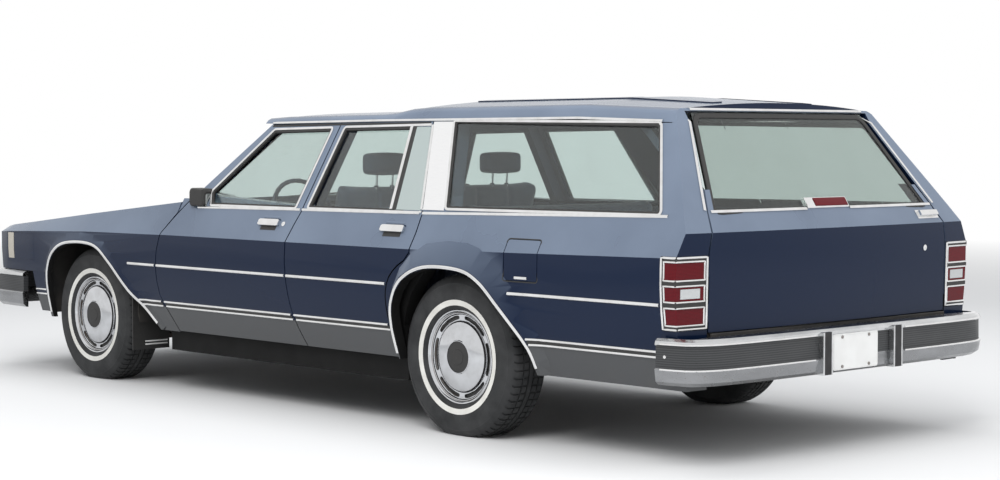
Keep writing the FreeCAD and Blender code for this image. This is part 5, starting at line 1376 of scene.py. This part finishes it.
    def wheel(self):
        """Build the steering wheel: grooved rim, padded hub and two spokes."""
        joint = next(j for j in frame["record"]["behaviour"]["joints"] if j["name"] == "steering_wheel_turn")
        axis = Vector(joint["axis"]).normalized()
        centre = Vector(joint["pos_m"])
        across = Vector((0, 1, 0))
        up = across.cross(axis).normalized()
        ring = centre + axis * 0.020
        steps, sides, radius = 120, 12, 0.185
        rings = []
        for angle in (2 * math.pi * k / steps for k in range(steps)):
            out = across * math.cos(angle) + up * math.sin(angle)
            grip = 0.0115 + 0.0008 * math.cos(30 * angle)
            rings.append([ring + out * (radius + grip * math.cos(a)) + axis * grip * math.sin(a)
                          for a in (2 * math.pi * j / sides for j in range(sides))])
        piece = Piece()
        piece.rings(rings, "cabin_plastic", closed=True)
        piece.turn([(0, -0.018), (0.048, -0.018), (0.058, 0.002), (0.062, 0.014), (0.050, 0.024), (0, 0.028)],
                   centre, axis, "cabin_plastic", 48)
        for sign in (1, -1):
            line = [centre + axis * (0.010 + 0.008 * share) + across * sign * (0.03 + 0.152 * share)
                    for share in (0, 0.3, 0.6, 0.85, 1.0)]
            piece.sweep(line, axis, slab(0.040, -0.008, 0.008, 0.006), "cabin_plastic")
            inlay = [spot + axis * 0.009 for spot in line[1:4]]
            piece.sweep(inlay, axis, slab(0.012, -0.002, 0.002, 0.001), "bright_trim")
        piece.place("steering_wheel_form", "steering_wheel", "dash_plastic", ["steering_wheel"])

    def card(self, panel, side, sign, x_low, x_high):
        """Add armrest, pull and window crank inside one door."""
        door = Surface("%s_%s" % (panel, side))
        inwards = Vector((0, -sign, 0))
        piece = Piece()
        wall, _ = door.cast(((x_low + x_high) / 2, 0, 0.680), -inwards)
        y_low, y_high = sorted((wall.y - sign * 0.045, wall.y + sign * 0.004))
        piece.block((x_low, y_low, 0.655), (x_high, y_high, 0.705), "cabin_plastic", 0.014, 3)
        piece.block((x_low + 0.06, y_low, 0.640), (x_high - 0.20, y_high, 0.658), "bright_trim", 0.005, 2)
        hub, _ = door.cast((x_high - 0.10, 0, 0.590), -inwards)
        piece.turn([(0, 0.022), (0.014, 0.020), (0.016, 0.0), (0, -0.003)], hub, inwards, "bright_trim", 24)
        arm = [hub + inwards * out + Vector((-back, 0, up))
               for out, back, up in ((0.018, 0, 0), (0.022, 0.030, 0.030), (0.030, 0.065, 0.060))]
        piece.sweep(arm, inwards, slab(0.014, -0.003, 0.003, 0.002), "bright_trim")
        piece.turn([(0, 0.030), (0.009, 0.028), (0.010, 0.0), (0, 0.0)], arm[-1], inwards, "black_rubber", 20)
        piece.place("card_%s_%s" % (panel, side), "%s_%s" % (panel, side), "dash_plastic")


class WAGON_OT_stage(bpy.types.Operator):
    """Lay the floor, hang the lights and place the camera."""
    bl_idname = "wagon.stage"
    bl_label = "Stage"

    def execute(self, context):
        scene = context.scene
        settings = scene.wagon_stage
        self.floor(scene, settings.floor_tone)
        scene.world = self.sky()
        for name, place, power, size in (("key", (-5, 7, 8), 900, 6), ("fill", (-9, -4, 5), 350, 7),
                                         ("top", (2, 0, 9), 500, 8)):
            light = bpy.data.lights.new(name, "AREA")
            light.energy = power
            light.size = size
            lamp = bpy.data.objects.new(name, light)
            lamp.visible_glossy = False
            lamp.location = place
            lamp.rotation_euler = (Vector((0, 0, 0.5)) - Vector(place)).to_track_quat("-Z", "Y").to_euler()
            scene.collection.objects.link(lamp)
        lens = bpy.data.cameras.new("camera")
        lens.lens = settings.focal_length
        lens.sensor_width = 36.0
        lens.clip_end = 200.0
        camera = bpy.data.objects.new("camera", lens)
        camera.location = settings.camera_place
        yaw, pitch = settings.camera_yaw, settings.camera_pitch
        ahead = Vector((math.cos(pitch) * math.cos(yaw), math.cos(pitch) * math.sin(yaw), math.sin(pitch)))
        camera.rotation_euler = ahead.to_track_quat("-Z", "Y").to_euler()
        scene.collection.objects.link(camera)
        scene.camera = camera
        scene.view_settings.view_transform = "Standard"
        return {"FINISHED"}

    def floor(self, scene, tone):
        """Return a grey floor that turns white far out for camera, mirror and glass rays."""
        shader = Shader("floor_finish", Roughness=0.9)
        shader.feed(Base_Color=shader.mix(shader.noise(3.0) * 0.06, grey(tone), grey(tone * 0.9)))
        distance = shader.node("ShaderNodeVectorMath", {"operation": "LENGTH"}, {0: shader.position()}, 1)
        kinds = ("Is Camera Ray", "Is Reflection Ray", "Is Transmission Ray")
        camera, mirror, through = [shader.node("ShaderNodeLightPath", output=kind) for kind in kinds]
        seen = camera.math("MAXIMUM", camera.math("MAXIMUM", camera, mirror), through)
        white = shader.node("ShaderNodeEmission", {}, {0: (1.0, 1.0, 1.0), 1: 1.0})
        grown = Flow(shader, shader.surface.outputs[0])
        cover = shader.node("ShaderNodeMixShader", {}, {0: distance.ramp(7.0, 17.0) * seen, 1: grown, 2: white})
        shader.fill(shader.output.inputs[0], cover)
        mesh = bpy.data.meshes.new("floor")
        half = 60.0
        corners = [(-half, -half, 0), (half, -half, 0), (half, half, 0), (-half, half, 0)]
        mesh.from_pydata(corners, [], [(0, 1, 2, 3)])
        mesh.materials.append(shader.material)
        ground = bpy.data.objects.new("stage_floor", mesh)
        scene.collection.objects.link(ground)
        return ground

    def sky(self):
        """Return a world that lights the scene softly and looks white to camera, mirror and glass rays."""
        world = bpy.data.worlds.new("studio")
        world.use_nodes = True
        tree = world.node_tree
        lit = tree.nodes["Background"]
        lit.inputs[0].default_value = (0.93, 0.96, 1.0, 1.0)
        lit.inputs[1].default_value = 0.55
        white = tree.nodes.new("ShaderNodeBackground")
        white.inputs[0].default_value = (1, 1, 1, 1)
        path = tree.nodes.new("ShaderNodeLightPath")
        share = path.outputs["Is Camera Ray"]
        for kind in ("Is Transmission Ray", "Is Glossy Ray"):
            seen = tree.nodes.new("ShaderNodeMath")
            seen.operation = "MAXIMUM"
            tree.links.new(share, seen.inputs[0])
            tree.links.new(path.outputs[kind], seen.inputs[1])
            share = seen.outputs[0]
        blend = tree.nodes.new("ShaderNodeMixShader")
        for source, socket in zip((share, lit.outputs[0], white.outputs[0]), blend.inputs):
            tree.links.new(source, socket)
        tree.links.new(blend.outputs[0], tree.nodes["World Output"].inputs[0])
        return world


class WAGON_PT_panel(bpy.types.Panel):
    """List the steps of the finish."""
    bl_label = "Station wagon"
    bl_idname = "WAGON_PT_panel"
    bl_space_type = "VIEW_3D"
    bl_region_type = "UI"
    bl_category = "Wagon"

    def draw(self, context):
        for step in STEPS:
            self.layout.operator(step.bl_idname)


STEPS = [WAGON_OT_stage, WAGON_OT_finishes, WAGON_OT_panels, WAGON_OT_mouldings, WAGON_OT_rear, WAGON_OT_front,
         WAGON_OT_wheels, WAGON_OT_cabin]
GROUPS = {"wagon_paint": PaintSettings, "wagon_stage": StageSettings}


def register():
    """Add the classes and their settings."""
    for group in GROUPS.values():
        bpy.utils.register_class(group)
    for step in STEPS:
        bpy.utils.register_class(step)
    bpy.utils.register_class(WAGON_PT_panel)
    for name, group in GROUPS.items():
        setattr(bpy.types.Scene, name, PointerProperty(type=group))


def unregister():
    """Take the classes and their settings away."""
    for name in GROUPS:
        delattr(bpy.types.Scene, name)
    bpy.utils.unregister_class(WAGON_PT_panel)
    for step in reversed(STEPS):
        bpy.utils.unregister_class(step)
    for group in GROUPS.values():
        bpy.utils.unregister_class(group)


def main():
    """Run every step in order."""
    register()
    for step in STEPS:
        group, name = step.bl_idname.split(".")
        getattr(getattr(bpy.ops, group), name)()


if __name__ == "__main__":
    main()
